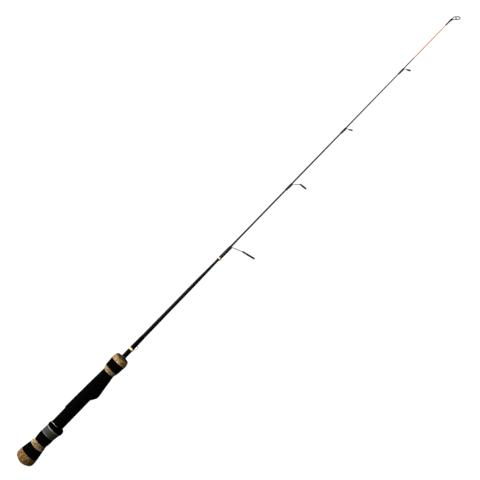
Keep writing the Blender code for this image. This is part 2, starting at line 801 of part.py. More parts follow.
def build():
    for old in list(bpy.data.objects):
        bpy.data.objects.remove(old)
    slot = {
        "carbon": material("carbon_blank", (0.035, 0.05, 0.055), 0.25),
        "orange": material("orange_tip", (0.95, 0.25, 0.05), 0.4),
        "cork": material("burl_cork", (0.5, 0.33, 0.17), 0.8),
        "foam": material("eva_foam", (0.015, 0.015, 0.016), 0.9),
        "seat": material("seat_plastic", (0.03, 0.034, 0.034), 0.4),
        "hood": material("hood_plastic", (0.012, 0.012, 0.013), 0.45),
        "gunmetal": material("gunmetal_sleeve", (0.16, 0.16, 0.15), 0.3, 1.0),
        "steel": material("bright_steel", (0.65, 0.65, 0.62), 0.2, 1.0),
        "thread": material("black_thread", (0.012, 0.012, 0.014), 0.2),
        "gold": material("gold_thread", (0.75, 0.55, 0.2), 0.3),
        "frame": material("guide_frame", (0.02, 0.02, 0.022), 0.3, 1.0),
        "ring": material("guide_ring", (0.05, 0.05, 0.055), 0.15),
    }
    blank(slot)
    butt(slot)
    reel_seat(slot)
    sliding_hood(slot)
    lock_nut(slot)
    fore_grip(slot)
    butt_wraps(slot)
    for entry in GUIDES:
        outer = guide(*entry, slot)
        if entry[0] == "guide_1":
            band(outer, slot["gold"])
    tip_top(slot)


def band(wrap_outer, slot):
    """Narrow gold band over the rear of the first guide's wrap."""
    lift = 0.1 * MM

    def outer(x, a):
        return wrap_outer(x, a) + 0.26 * MM

    def inner(x, a):
        return wrap_outer(x, a) + lift

    edge = 0.3 * MM
    rings = [
        ring(BAND_START, lambda a: outer(BAND_START, a) - 0.08 * MM, WRAP_SIDES),
        ring(BAND_START + edge, lambda a: outer(BAND_START + edge, a), WRAP_SIDES),
        ring(BAND_END - edge, lambda a: outer(BAND_END - edge, a), WRAP_SIDES),
        ring(BAND_END, lambda a: outer(BAND_END, a) - 0.08 * MM, WRAP_SIDES),
        ring(BAND_END, lambda a: inner(BAND_END, a), WRAP_SIDES),
        ring(BAND_START, lambda a: inner(BAND_START, a), WRAP_SIDES),
    ]
    loft("guide_1_band", rings, slot, tube=True)


build()
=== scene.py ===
"""Ice fishing rod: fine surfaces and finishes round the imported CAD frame, with studio light and camera."""

import json
from itertools import product
from math import cos, pi, radians, sin, sqrt

import bpy
import numpy as np
from mathutils import Matrix, Vector

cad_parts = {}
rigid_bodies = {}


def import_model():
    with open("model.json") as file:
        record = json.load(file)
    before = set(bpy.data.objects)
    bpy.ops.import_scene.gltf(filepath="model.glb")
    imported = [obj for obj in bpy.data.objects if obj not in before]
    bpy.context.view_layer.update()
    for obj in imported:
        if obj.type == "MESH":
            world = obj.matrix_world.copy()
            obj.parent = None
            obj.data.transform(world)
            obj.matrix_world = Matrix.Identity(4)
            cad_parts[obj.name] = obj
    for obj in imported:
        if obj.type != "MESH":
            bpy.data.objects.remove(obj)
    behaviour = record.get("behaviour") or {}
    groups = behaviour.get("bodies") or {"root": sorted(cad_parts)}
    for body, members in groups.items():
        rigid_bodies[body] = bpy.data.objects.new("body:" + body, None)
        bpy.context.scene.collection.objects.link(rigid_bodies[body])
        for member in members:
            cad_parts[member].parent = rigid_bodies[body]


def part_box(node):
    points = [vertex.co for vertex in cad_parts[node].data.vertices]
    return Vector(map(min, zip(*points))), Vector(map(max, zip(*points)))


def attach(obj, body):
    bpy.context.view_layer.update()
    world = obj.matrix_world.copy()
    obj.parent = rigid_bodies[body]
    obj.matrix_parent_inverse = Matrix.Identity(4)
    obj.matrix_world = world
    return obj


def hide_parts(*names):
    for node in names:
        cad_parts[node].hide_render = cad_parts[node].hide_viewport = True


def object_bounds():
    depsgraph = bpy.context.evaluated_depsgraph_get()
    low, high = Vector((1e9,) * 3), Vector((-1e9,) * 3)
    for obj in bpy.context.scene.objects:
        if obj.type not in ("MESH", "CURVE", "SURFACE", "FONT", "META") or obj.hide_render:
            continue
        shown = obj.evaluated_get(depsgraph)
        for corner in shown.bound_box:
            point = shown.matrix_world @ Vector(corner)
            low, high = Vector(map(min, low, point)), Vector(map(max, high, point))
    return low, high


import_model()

MM = 0.001
TAU = 2 * pi
WHITE = (1.0, 1.0, 1.0)
SMOOTH_BELOW = 38.0
CAD_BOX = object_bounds()


# ---- measuring the frame


def start_of(node):
    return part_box(node)[0].x / MM


def end_of(node):
    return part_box(node)[1].x / MM


def top_of(node):
    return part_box(node)[1].z / MM


def ends_of(node):
    return start_of(node), end_of(node)


# ---- numbers that repeat exactly

CELL_FACTORS = (73856093, 19349663, 83492791)
SALT_FACTOR = 2654435761
MIXING = ((15, 0x2C1B3C6D), (12, 0x297A2D39))
WORD = 2**32


def lattice(cells, salt):
    """Repeatable value from 0 to 1 for whole-number cells of shape (..., 3)."""
    n = salt * SALT_FACTOR
    for axis, factor in enumerate(CELL_FACTORS):
        n = n ^ cells[..., axis] * factor
    n = n & (WORD - 1)
    for shift, factor in MIXING * 2:
        n = ((n ^ (n >> shift)) * factor) & (WORD - 1)
    return (n ^ (n >> MIXING[0][0])) / WORD


def grain(points, size, salt):
    """Smooth value noise from 0 to 1 with features of the given size in metres."""
    p = points / size
    low = np.floor(p).astype(np.int64)
    t = p - low
    t = t * t * (3 - 2 * t)
    total = 0.0
    for corner in product((0, 1), repeat=3):
        share = np.where(corner, t, 1 - t)
        total = total + share[..., 0] * share[..., 1] * share[..., 2] * lattice(low + np.array(corner), salt)
    return total


def granules(points, size, salt):
    """Nearest and second nearest distance, as shares of size, and a value for each granule."""
    p = points / size
    low = np.floor(p).astype(np.int64)
    best = np.full(p.shape[:-1], 9.0)
    second = best.copy()
    tone = np.zeros(p.shape[:-1])
    for offset in product((-1, 0, 1), repeat=3):
        cell = low + np.array(offset)
        centre = cell + np.stack([lattice(cell, salt + k) for k in (11, 23, 37)], axis=-1)
        gap = np.linalg.norm(p - centre, axis=-1)
        closer = gap < best
        second = np.where(closer, best, np.minimum(second, gap))
        tone = np.where(closer, lattice(cell, salt + 51), tone)
        best = np.where(closer, gap, best)
    return best, second, tone


def ease(low, high, value):
    t = np.clip((value - low) / (high - low), 0.0, 1.0)
    return t * t * (3 - 2 * t)


# ---- skins


def polar(x, r, a):
    """Points at station x and radius r about the rod; angle 0 is the reel side."""
    x, r, a = np.broadcast_arrays(x, r, a)
    return np.stack((x, r * np.sin(a), -r * np.cos(a)), axis=-1)


def angle_of(points):
    """Angle of points about the rod, 0 at the reel side."""
    return np.arctan2(points[..., 1], -points[..., 2])


def radius_of(points):
    return np.hypot(points[..., 1], points[..., 2])


def hermite(t, one, leaving, two, arriving):
    """Curve from one to two with the given slopes there, for t from 0 to 1."""
    t2, t3 = t * t, t * t * t
    start = one * (2 * t3 - 3 * t2 + 1) + leaving * (t3 - 2 * t2 + t)
    return start + two * (3 * t2 - 2 * t3) + arriving * (t3 - t2)


def monotone(knots, values, at):
    """Smooth curve through rows of values that never overshoots them."""
    knots = np.asarray(knots, float)
    slope = np.diff(values, axis=0) / np.diff(knots)[:, None]
    tangent = np.zeros_like(values)
    tangent[0], tangent[-1] = slope[0], slope[-1]
    if len(knots) > 2:
        a, b = slope[:-1], slope[1:]
        same = a * b > 0
        tangent[1:-1] = np.where(same, 2 * a * b / np.where(same, a + b, 1.0), 0.0)
    index = np.clip(np.searchsorted(knots, at, side="right") - 1, 0, len(knots) - 2)
    width = (knots[index + 1] - knots[index])[:, None]
    t = (at - knots[index])[:, None] / width
    return hermite(t, values[index], tangent[index] * width, values[index + 1], tangent[index + 1] * width)


def table_value(table, x):
    """Value at a station in millimetres, held constant beyond either end of the table."""
    table = np.array(table)
    at = np.clip([x], table[0, 0], table[-1, 0])
    return float(monotone(table[:, 0], table[:, 1:], at)[0, 0])


class Loft:
    """Rings about the rod, in millimetres, joined by a smooth surface; sharp rings keep a corner."""

    def __init__(self, columns):
        self.angle = TAU * np.arange(columns) / columns
        self.keys = []

    def ring(self, x, r, step=None, sharp=False):
        ones = np.ones_like(self.angle)
        self.keys.append((x * ones * MM, r * ones * MM, step, sharp))

    def rings(self, *rows):
        """Adds smooth rings from rows of station, radius and the step of the rows up to the next ring."""
        for row in rows:
            self.ring(*row)

    def corners(self, *rows):
        """Adds sharp rings from rows of station, radius and, on a finely stepped face, the step."""
        for x, r, *step in rows:
            self.ring(x, r, *step, sharp=True)

    def rows(self):
        """Stations and radii of every row, and whether each row lies on a finely stepped face."""
        x = np.array([key[0] for key in self.keys])
        r = np.array([key[1] for key in self.keys])
        gaps = np.linalg.norm(np.diff(polar(x, r, self.angle), axis=0), axis=2).mean(axis=1)
        gaps = np.maximum(gaps, 1e-7)
        last = len(self.keys) - 1
        corners = [0] + [i for i in range(1, last) if self.keys[i][3]] + [last]
        out_x, out_r, fine = [], [], []
        for first, final in zip(corners, corners[1:]):
            knots = np.concatenate(([0.0], np.cumsum(gaps[first:final])))
            at = []
            for i in range(first, final):
                step = self.keys[i][2]
                count = 1 if step is None else max(1, round(gaps[i] / (step * MM)))
                at += [knots[i - first] + gaps[i] * k / count for k in range(count)]
                fine += [step is not None] * count
            for out, values in ((out_x, x), (out_r, r)):
                out.append(monotone(knots, values[first : final + 1], np.array(at)))
        fine.append(fine[-1])
        return np.concatenate(out_x + [x[last:]]), np.concatenate(out_r + [r[last:]]), np.array(fine)


def skin_arrays(points, loop=False):
    """Vertices, quads and triangles of a closed skin over a grid of points whose columns close.

    With loop the last row meets the first; otherwise a fan closes either end.
    """
    rows, columns = points.shape[:2]
    count = rows * columns
    verts = points.reshape(-1, 3)
    i = columns * np.arange(rows if loop else rows - 1)[:, None]
    n = (i + columns) % count
    j = np.arange(columns)
    k = (j + 1) % columns
    quads = np.stack((i + j, i + k, n + k, n + j), axis=-1).reshape(-1, 4)
    fans = np.zeros((0, 3), int)
    if not loop:
        verts = np.concatenate((verts, [points[0].mean(axis=0), points[-1].mean(axis=0)]))
        start = np.stack((np.full(columns, count), k, j), axis=-1)
        end = np.stack((np.full(columns, count + 1), count - columns + j, count - columns + k), axis=-1)
        fans = np.concatenate((start, end))
    a, b, c, d = (verts[quads[:, corner]] for corner in range(4))
    if np.einsum("ij,ij->i", a, np.cross(b, c) + np.cross(c, d)).sum() < 0:
        quads, fans = quads[:, ::-1], fans[:, ::-1]
    return verts, quads, fans


def make_mesh(name, verts, quads, fans):
    mesh = bpy.data.meshes.new(name)
    mesh.vertices.add(len(verts))
    mesh.vertices.foreach_set("co", np.asarray(verts, np.float32).ravel())
    corners = np.concatenate((quads.ravel(), fans.ravel())).astype(np.int32)
    sizes = np.concatenate((np.full(len(quads), 4), np.full(len(fans), 3)))
    starts = np.concatenate(([0], np.cumsum(sizes)[:-1])).astype(np.int32)
    mesh.loops.add(len(corners))
    mesh.loops.foreach_set("vertex_index", corners)
    mesh.polygons.add(len(sizes))
    mesh.polygons.foreach_set("loop_start", starts)
    mesh.update(calc_edges=True)
    mesh.validate()
    return mesh


def smooth(mesh, degrees=SMOOTH_BELOW):
    mesh.shade_smooth()
    mesh.set_sharp_from_angle(angle=radians(degrees))


def linked(name, data):
    """New object of the scene for a mesh, lamp or camera."""
    made = bpy.data.objects.new(name, data)
    bpy.context.scene.collection.objects.link(made)
    return made


def place(name, mesh, looks, node, body="rod", degrees=SMOOTH_BELOW):
    """Links a finished mesh as the piece that rides on a body and stands for a CAD node."""
    made = linked(name, mesh)
    for look in looks if isinstance(looks, list) else [looks]:
        mesh.materials.append(look)
    smooth(mesh, degrees)
    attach(made, body)
    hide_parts(node)
    return made


def add_values(mesh, values):
    """Stores named numbers on a mesh's points for its material to read."""
    for name, numbers in values.items():
        layer = mesh.attributes.new(name, "FLOAT", "POINT")
        padded = np.zeros(len(mesh.vertices), np.float32)
        padded[: numbers.size] = numbers.ravel()
        layer.data.foreach_set("value", padded)


def lofted(name, loft, looks, node, relief=None, loop=True, body="rod", degrees=SMOOTH_BELOW):
    """Piece from a Loft; relief gives a change of radius in metres and values for the material."""
    x, r, fine = loft.rows()
    values = {}
    if relief:
        change, values = relief(polar(x, r, loft.angle))
        r = r + np.where(fine[:, None], change, 0.0)
    mesh = make_mesh(name, *skin_arrays(polar(x, r, loft.angle), loop))
    add_values(mesh, values)
    return place(name, mesh, looks, node, body, degrees)


def turned(name, outline, bore, look, columns, step, relief=None, body="rod"):
    """Turned piece that stands for the CAD node of its name, stretched to that node's length and width."""
    begin, finish = ends_of(name)
    along = (finish - begin) / outline[-1][0]
    across = top_of(name) / max(r for _, r in outline)
    loft = Loft(columns)
    rows = [(begin + x * along, r * across) for x, r in outline]
    loft.rings(*((x, r, step) for x, r in rows[:-1]))
    loft.corners(rows[-1], (rows[-1][0], bore), (begin, bore))
    return lofted(name, loft, look, name, relief, body=body)


def applied(made):
    """Mesh of an object with its modifiers applied."""
    graph = bpy.context.evaluated_depsgraph_get()
    return bpy.data.meshes.new_from_object(made.evaluated_get(graph), depsgraph=graph)


def carve(target, cutter):
    """Cuts the cutter out of the target's mesh and removes it."""
    cut = target.modifiers.new("cut", "BOOLEAN")
    cut.operation = "DIFFERENCE"
    cut.object = cutter
    cut.solver = "EXACT"
    mesh = applied(target)
    target.modifiers.clear()
    target.data = mesh
    smooth(mesh)
    bpy.data.objects.remove(cutter)


def tube_points(path, radii, sides, fine=8):
    """Grid of points round a smooth wire through the path's points, fine rows to a span."""
    path = np.array(path) * MM
    radii = np.array(radii)[:, None] * MM
    gaps = np.linalg.norm(np.diff(path, axis=0), axis=1)
    knots = np.concatenate(([0.0], np.cumsum(gaps)))
    spans = [start + gap * np.arange(fine) / fine for start, gap in zip(knots, gaps)]
    at = np.concatenate(spans + [knots[-1:]])
    padded = np.concatenate((2 * path[:1] - path[1:2], path, 2 * path[-1:] - path[-2:-1]))
    centre = []
    for s in at:
        i = min(int(np.searchsorted(knots, s, side="right")) - 1, len(gaps) - 1)
        p0, p1, p2, p3 = padded[i : i + 4]
        leaving = (p2 - p0) / (np.linalg.norm(p1 - p0) + gaps[i]) * gaps[i]
        arriving = (p3 - p1) / (np.linalg.norm(p3 - p2) + gaps[i]) * gaps[i]
        centre.append(hermite((s - knots[i]) / gaps[i], p1, leaving, p2, arriving))
    width = monotone(knots, radii, at)[:, 0]
    turn = TAU * np.arange(sides) / sides
    rows = []
    side = None
    for i, point in enumerate(centre):
        along = centre[min(i + 1, len(centre) - 1)] - centre[max(i - 1, 0)]
        along = along / np.linalg.norm(along)
        if side is None:
            side = np.cross(along, (0.0, 1.0, 0.0))
        side = side - along * side.dot(along)
        side = side / np.linalg.norm(side)
        up = np.cross(along, side)
        rows.append(point + width[i] * (np.outer(np.cos(turn), side) + np.outer(np.sin(turn), up)))
    return np.array(rows)


def down_at(lean):
    """Direction away from the rod in the plane of a ring that leans by an angle."""
    return np.array((sin(lean), 0.0, -cos(lean)))


def hoop_points(centre, lean, profile, sides):
    """Grid for a ring about an axis that leans in the rod's plane; profile is (along, radius) pairs."""
    centre = np.array(centre) * MM
    axis = np.array((cos(lean), 0.0, sin(lean)))
    turn = TAU * np.arange(sides) / sides
    out = np.outer(np.cos(turn), down_at(lean)) + np.outer(np.sin(turn), (0.0, 1.0, 0.0))
    return np.array([centre + axis * along * MM + out * radius * MM for along, radius in profile])


def joined(parts):
    """One set of arrays from several closed skins."""
    before = np.cumsum([0] + [len(verts) for verts, _, _ in parts])
    return (
        np.concatenate([verts for verts, _, _ in parts]),
        np.concatenate([quads + count for (_, quads, _), count in zip(parts, before)]),
        np.concatenate([fans + count for (_, _, fans), count in zip(parts, before)]),
    )


def fused(name, parts, voxel, rounds):
    """Mesh of one skin round overlapping closed parts, with brazed-looking inner corners."""
    helper = linked(name, make_mesh(name, *joined(parts)))
    remesh = helper.modifiers.new("remesh", "REMESH")
    remesh.mode = "VOXEL"
    remesh.voxel_size = voxel * MM
    soften = helper.modifiers.new("soften", "SMOOTH")
    soften.factor = 0.5
    soften.iterations = rounds
    result = applied(helper)
    bpy.data.objects.remove(helper)
    return result


# ---- finishes


def linear(red, green, blue):
    """Linear colour from a display colour."""
    return tuple(c / 12.92 if c <= 0.04045 else ((c + 0.055) / 1.055) ** 2.4 for c in (red, green, blue))


class Nodes:
    """Adds shader nodes to a tree and feeds their inputs with values or with other nodes' outputs."""

    def __init__(self, tree):
        self.tree = tree

    def feed(self, node, key, value):
        socket = node.inputs[key]
        if isinstance(value, bpy.types.NodeSocket):
            self.tree.links.new(value, socket)
        elif socket.type == "RGBA":
            socket.default_value = (*value, 1.0)
        else:
            socket.default_value = value

    def add(self, kind, inputs=None, **settings):
        node = self.tree.nodes.new("ShaderNode" + kind)
        for key, value in settings.items():
            setattr(node, key, value)
        for key, value in (inputs or {}).items():
            self.feed(node, key, value)
        return node

    def ramp(self, value, *stops):
        """Colour of a value from stops of position and colour."""
        node = self.add("ValToRGB", {"Fac": value})
        band = node.color_ramp
        band.elements.remove(band.elements[-1])
        band.elements[0].position = stops[0][0]
        band.elements[0].color = (*stops[0][1], 1.0)
        for position, colour in stops[1:]:
            band.elements.new(position).color = (*colour, 1.0)
        return node.outputs["Color"]


class Look(Nodes):
    """A Principled material whose inputs are fed by patterns."""

    def __init__(self, name, **values):
        self.material = bpy.data.materials.new(name)
        self.material.use_nodes = True
        super().__init__(self.material.node_tree)
        self.shader = self.tree.nodes["Principled BSDF"]
        self.where = self.add("TexCoord").outputs["Object"]
        self.set(**values)

    def set(self, **values):
        for key, value in values.items():
            self.feed(self.shader, key.replace("_", " "), value)

    def scaled(self, *factors):
        return self.add("VectorMath", {0: self.where, 1: factors}, operation="MULTIPLY").outputs[0]

    def noise(self, scale, detail=3.0, rough=0.5, vector=None):
        inputs = {"Vector": vector or self.where, "Scale": scale, "Detail": detail, "Roughness": rough}
        return self.add("TexNoise", inputs).outputs[0]

    def streaks(self, along, across, detail=4.0):
        """Noise drawn out along or round the rod."""
        return self.noise(1.0, detail, 0.6, self.scaled(along, across, across))

    def cells(self, scale, output="Distance", vector=None, **settings):
        inputs = {"Vector": vector or self.where, "Scale": scale}
        return self.add("TexVoronoi", inputs, **settings).outputs[output]

    def math(self, operation, a, b=0.0, c=0.0):
        return self.add("Math", {0: a, 1: b, 2: c}, operation=operation).outputs[0]

    def part(self, axis):
        return self.add("SeparateXYZ", {0: self.where}).outputs[axis]

    def turn(self):
        """Angle about the rod in turns."""
        angle = self.math("ARCTAN2", self.part("Y"), self.math("MULTIPLY", self.part("Z"), -1.0))
        return self.math("DIVIDE", angle, TAU)

    def span(self, value, low, high, out_low=0.0, out_high=1.0):
        inputs = {0: value, 1: low, 2: high, 3: out_low, 4: out_high}
        return self.add("MapRange", inputs, interpolation_type="SMOOTHSTEP").outputs[0]

    def varied(self, pattern, low, high):
        """Value that follows a noise pattern between two ends."""
        return self.span(pattern, 0.3, 0.7, low, high)

    def blend(self, share, a, b, mode="MIX"):
        node = self.add("Mix", data_type="RGBA", blend_type=mode)
        for key, value in ((0, share), (6, a), (7, b)):
            self.feed(node, key, value)
        return node.outputs[2]

    def value(self, name):
        return self.add("Attribute", attribute_name=name).outputs["Fac"]

    def bump(self, height, depth, strength=1.0, normal=None):
        """Normal from a height of 0 to 1 that stands for depth in millimetres."""
        inputs = {"Height": height, "Distance": depth * MM, "Strength": strength}
        if normal:
            inputs["Normal"] = normal
        return self.add("Bump", inputs).outputs[0]

    def thread(self, pitch):
        """Saw of turns for a helix about the rod with the given pitch in millimetres."""
        along = self.math("DIVIDE", self.part("X"), pitch * MM)
        return self.math("FRACT", self.math("SUBTRACT", along, self.turn()))


def cork_look(name, light):
    """Burl cork: pressed granules of mixed tone with dark bark flecks and small voids."""
    look = Look(name, Specular_IOR_Level=0.06)
    drift = look.add("CombineXYZ", {0: look.noise(900.0), 1: look.noise(800.0, 2.0), 2: look.noise(1000.0)})
    shift = look.add("VectorMath", {0: drift.outputs[0], "Scale": 0.6 * MM}, operation="SCALE")
    warped = look.add("VectorMath", {0: look.where, 1: shift.outputs[0]}, operation="ADD").outputs[0]
    tone = look.ramp(
        look.value("tone"),
        (0.0, linear(0.34, 0.18, 0.05)),
        (0.25, linear(0.62, 0.43, 0.19)),
        (0.5, linear(0.92, 0.76, 0.50)),
        (0.75, linear(0.56, 0.37, 0.14)),
        (1.0, linear(1.0, 0.94, 0.78)),
    )
    speck = look.ramp(
        look.add("SeparateColor", {0: look.cells(1300.0, "Color", warped)}).outputs[0],
        (0.0, linear(0.36, 0.20, 0.06)),
        (0.5, linear(0.74, 0.55, 0.30)),
        (1.0, linear(1.0, 0.89, 0.69)),
    )
    mixed = look.blend(0.32, tone, speck)
    veins = look.cells(620.0, 0, warped, feature="DISTANCE_TO_EDGE")
    broken = look.span(look.noise(500.0), 0.45, 0.62)
    line = look.math("MULTIPLY", look.span(veins, 0.0, 0.09, 1.0, 0.0), broken)
    veined = look.blend(line, mixed, linear(0.24, 0.12, 0.03))
    # the fleck mark also carries painted shade in the front cork's cup and on its front
    bark = look.math("MULTIPLY", look.value("bark"), look.span(look.noise(2600.0, 4.0), 0.25, 0.5, 0.7, 1.0))
    flecked = look.blend(bark, veined, linear(0.19, 0.09, 0.02))
    rim = look.span(look.value("edge"), 0.0, 1.0, 0.0, 0.6)
    dusted = look.blend(rim, flecked, linear(0.86, 0.75, 0.58))
    fine = look.noise(4200.0, 4.0, 0.6)
    dirt = look.ramp(fine, (0.3, (0.5, 0.32, 0.16)), (0.6, WHITE))
    worn = look.blend(0.3, dusted, dirt, "MULTIPLY")
    look.set(Base_Color=look.add("VectorMath", {0: worn, 1: light}, operation="MULTIPLY").outputs[0])
    coarse = look.bump(look.noise(1500.0), 0.06)
    look.set(Roughness=look.varied(fine, 0.68, 0.9), Normal=look.bump(fine, 0.03, 0.8, coarse))
    return look.material


def foam_look():
    """Closed-cell foam, ground to a matte skin of very small open cells."""
    look = Look("eva_foam_black", Roughness=0.93, Specular_IOR_Level=0.0)
    pores = look.cells(3600.0)
    cloud = look.noise(260.0, 4.0)
    base = look.ramp(cloud, (0.3, (0.0003, 0.0003, 0.00032)), (0.7, (0.0009, 0.0009, 0.0009)))
    look.set(Base_Color=look.blend(look.span(pores, 0.25, 0.6), base, (0.003, 0.003, 0.003)))
    lumps = look.bump(look.noise(900.0, 4.0, 0.6), 0.05, 0.7)
    look.set(Normal=look.bump(pores, 0.05, 0.9, lumps))
    return look.material


def moulded_look(name, colour, roughness, shine, grain_depth):
    """Moulded plastic with a fine spark-eroded grain and slight colour drift."""
    look = Look(name, Specular_IOR_Level=shine)
    darker = tuple(c * 0.78 for c in colour)
    look.set(Base_Color=look.ramp(look.noise(60.0), (0.35, darker), (0.7, colour)))
    look.set(Roughness=look.varied(look.noise(180.0, 4.0), roughness - 0.05, roughness + 0.06))
    look.set(Normal=look.bump(look.noise(5200.0, 3.0, 0.55), grain_depth, 0.6))
    return look.material


def metal_look(name, colour, roughness, brushed, tint=0.9):
    """Turned metal: lathe lines round the rod and a slight cloud in the finish."""
    look = Look(name, Metallic=1.0)
    along = look.math("MULTIPLY", look.part("X"), 9000.0)
    across = look.math("MULTIPLY", look.turn(), 5.0)
    lines = look.noise(1.0, 4.0, 0.6, look.add("CombineXYZ", {0: along, 1: across, 2: 0.0}).outputs[0])
    cloud = look.math("MULTIPLY", look.noise(240.0), 0.4)
    darker = tuple(c * tint for c in colour)
    mixed = look.math("MULTIPLY_ADD", lines, 0.6, cloud)
    look.set(Base_Color=look.ramp(mixed, (0.35, darker), (0.6, colour)))
    rough = look.varied(lines, roughness - 0.06, roughness + 0.08)
    look.set(Roughness=rough, Normal=look.bump(lines, 0.012 * brushed, 0.7))
    return look.material


def blank_look():
    """Graphite blank: black, with a slate green stretch behind the first guide, under a thin satin coat."""
    look = Look("graphite_blank", Specular_IOR_Level=0.06, Coat_Weight=0.06, Coat_Roughness=0.2)
    fibre = look.streaks(500.0, 5200.0)
    slate = look.ramp(
        fibre, (0.3, (0.003, 0.0055, 0.006)), (0.52, (0.006, 0.011, 0.0115)), (0.75, (0.011, 0.019, 0.02))
    )
    black = look.ramp(fibre, (0.3, (0.001, 0.001, 0.0012)), (0.7, (0.003, 0.003, 0.0033)))
    begins = look.span(look.part("X"), 0.225, 0.262)
    fades = look.span(look.part("X"), 0.33, 0.38, 1.0, 0.15)
    look.set(Base_Color=look.blend(look.math("MULTIPLY", begins, fades), black, slate))
    ridge = look.bump(look.span(look.thread(3.2), 0.0, 0.08), 0.015, 0.6)
    look.set(Roughness=look.varied(fibre, 0.32, 0.45), Normal=look.bump(fibre, 0.006, 0.5, ridge))
    return look.material


def tip_look():
    """Fluorescent orange paint, brushed on thin enough to show slight streaks, with a weak painted glow of
    its own colour.
    """
    look = Look("fluorescent_tip_painted_glow", Roughness=0.35, Coat_Weight=0.1, Coat_Roughness=0.1)
    streak = look.streaks(160.0, 2600.0)
    paint = look.ramp(streak, (0.3, (0.8, 0.10, 0.002)), (0.7, (0.95, 0.17, 0.005)))
    look.set(Base_Color=paint, Normal=look.bump(streak, 0.008, 0.5))
    # painted glow: the paint emits light like a weak lamp
    look.set(Emission_Color=paint, Emission_Strength=0.3)
    return look.material


def thread_look(name, deep, bright, metallic, coat, shine):
    """Rod-winding thread laid turn by turn under a clear epoxy coat, with painted shade between the turns and
    a painted highlight on each crest.
    """
    look = Look(name, Metallic=metallic, Roughness=0.45, Specular_IOR_Level=shine)
    look.set(Coat_Weight=coat, Coat_Roughness=0.04, Coat_IOR=1.6)
    # painted shade and highlight: each turn runs from the darker colour in its groove to the lighter colour
    # on its crest
    turns = look.math("SINE", look.math("MULTIPLY", look.thread(WRAP_PITCH), pi))
    twist = look.streaks(9000.0, 2500.0, 3.0)
    shade = look.math("MULTIPLY", turns, look.varied(twist, 0.6, 1.0))
    look.set(Base_Color=look.ramp(shade, (0.1, deep), (0.8, bright)))
    look.set(Normal=look.bump(turns, 0.02, 0.6), Coat_Normal=look.bump(look.noise(420.0, 2.0), 0.03, 0.3))
    return look.material


def plated_look():
    """Black-plated guide wire with small clouded patches."""
    look = Look("black_plated_wire", Metallic=1.0, Coat_Weight=0.1, Coat_Roughness=0.1)
    cloud = look.noise(700.0, 4.0, 0.55)
    look.set(Base_Color=look.ramp(cloud, (0.3, (0.014, 0.014, 0.015)), (0.7, (0.035, 0.035, 0.036))))
    look.set(Roughness=look.varied(cloud, 0.36, 0.48), Normal=look.bump(look.noise(3800.0), 0.01, 0.4))
    return look.material


def ceramic_look():
    """Polished dark ceramic with faint sintered speckle."""
    look = Look("ring_ceramic", Specular_IOR_Level=0.2, Coat_Weight=0.08, Coat_Roughness=0.03)
    speck = look.cells(2600.0)
    look.set(Base_Color=look.ramp(speck, (0.2, (0.006, 0.006, 0.007)), (0.7, (0.014, 0.014, 0.016))))
    look.set(Roughness=look.varied(look.noise(900.0), 0.05, 0.14), Normal=look.bump(speck, 0.004, 0.4))
    return look.material


WRAP_PITCH = 0.2
# colours of each thread: the darker one is painted shade in the grooves between turns, the lighter one a
# painted highlight on each turn's crest
BLACK_THREAD = ((0.0006, 0.0006, 0.0007), (0.002, 0.002, 0.0022), 0.0)
GOLD_THREAD = (linear(0.95, 0.66, 0.33), linear(1.0, 0.95, 0.72), 0.1)

CORK = cork_look("burl_cork_grain", (1.25, 1.4, 1.6))
CAP_CORK = cork_look("burl_cork_cap_grain", (0.72, 0.64, 0.52))
FOAM = foam_look()
SEAT = moulded_look("seat_satin_graphite", (0.0014, 0.0018, 0.0012), 0.5, 0.006, 0.012)
HOOD = moulded_look("hood_black_plastic", (0.0006, 0.0006, 0.0006), 0.45, 0.004, 0.01)
GUNMETAL = metal_look("gunmetal_anodised", (0.14, 0.135, 0.11), 0.82, 0.5, 0.85)
CHAMFER = metal_look("gunmetal_cut_edge", (0.36, 0.355, 0.32), 0.7, 0.3)
STEEL = metal_look("bright_stainless", (0.85, 0.85, 0.82), 0.5, 0.3)
BLANK = blank_look()
ORANGE = tip_look()
MATT_THREAD = thread_look("matt_black_thread", *BLACK_THREAD, 0.03, 0.02)
THREAD = thread_look("varnished_black_thread", *BLACK_THREAD, 0.22, 0.03)
GOLD = thread_look("gold_metallic_thread", *GOLD_THREAD, 0.5, 0.5)
PLATED = plated_look()
CERAMIC = ceramic_look()


# ---- reliefs


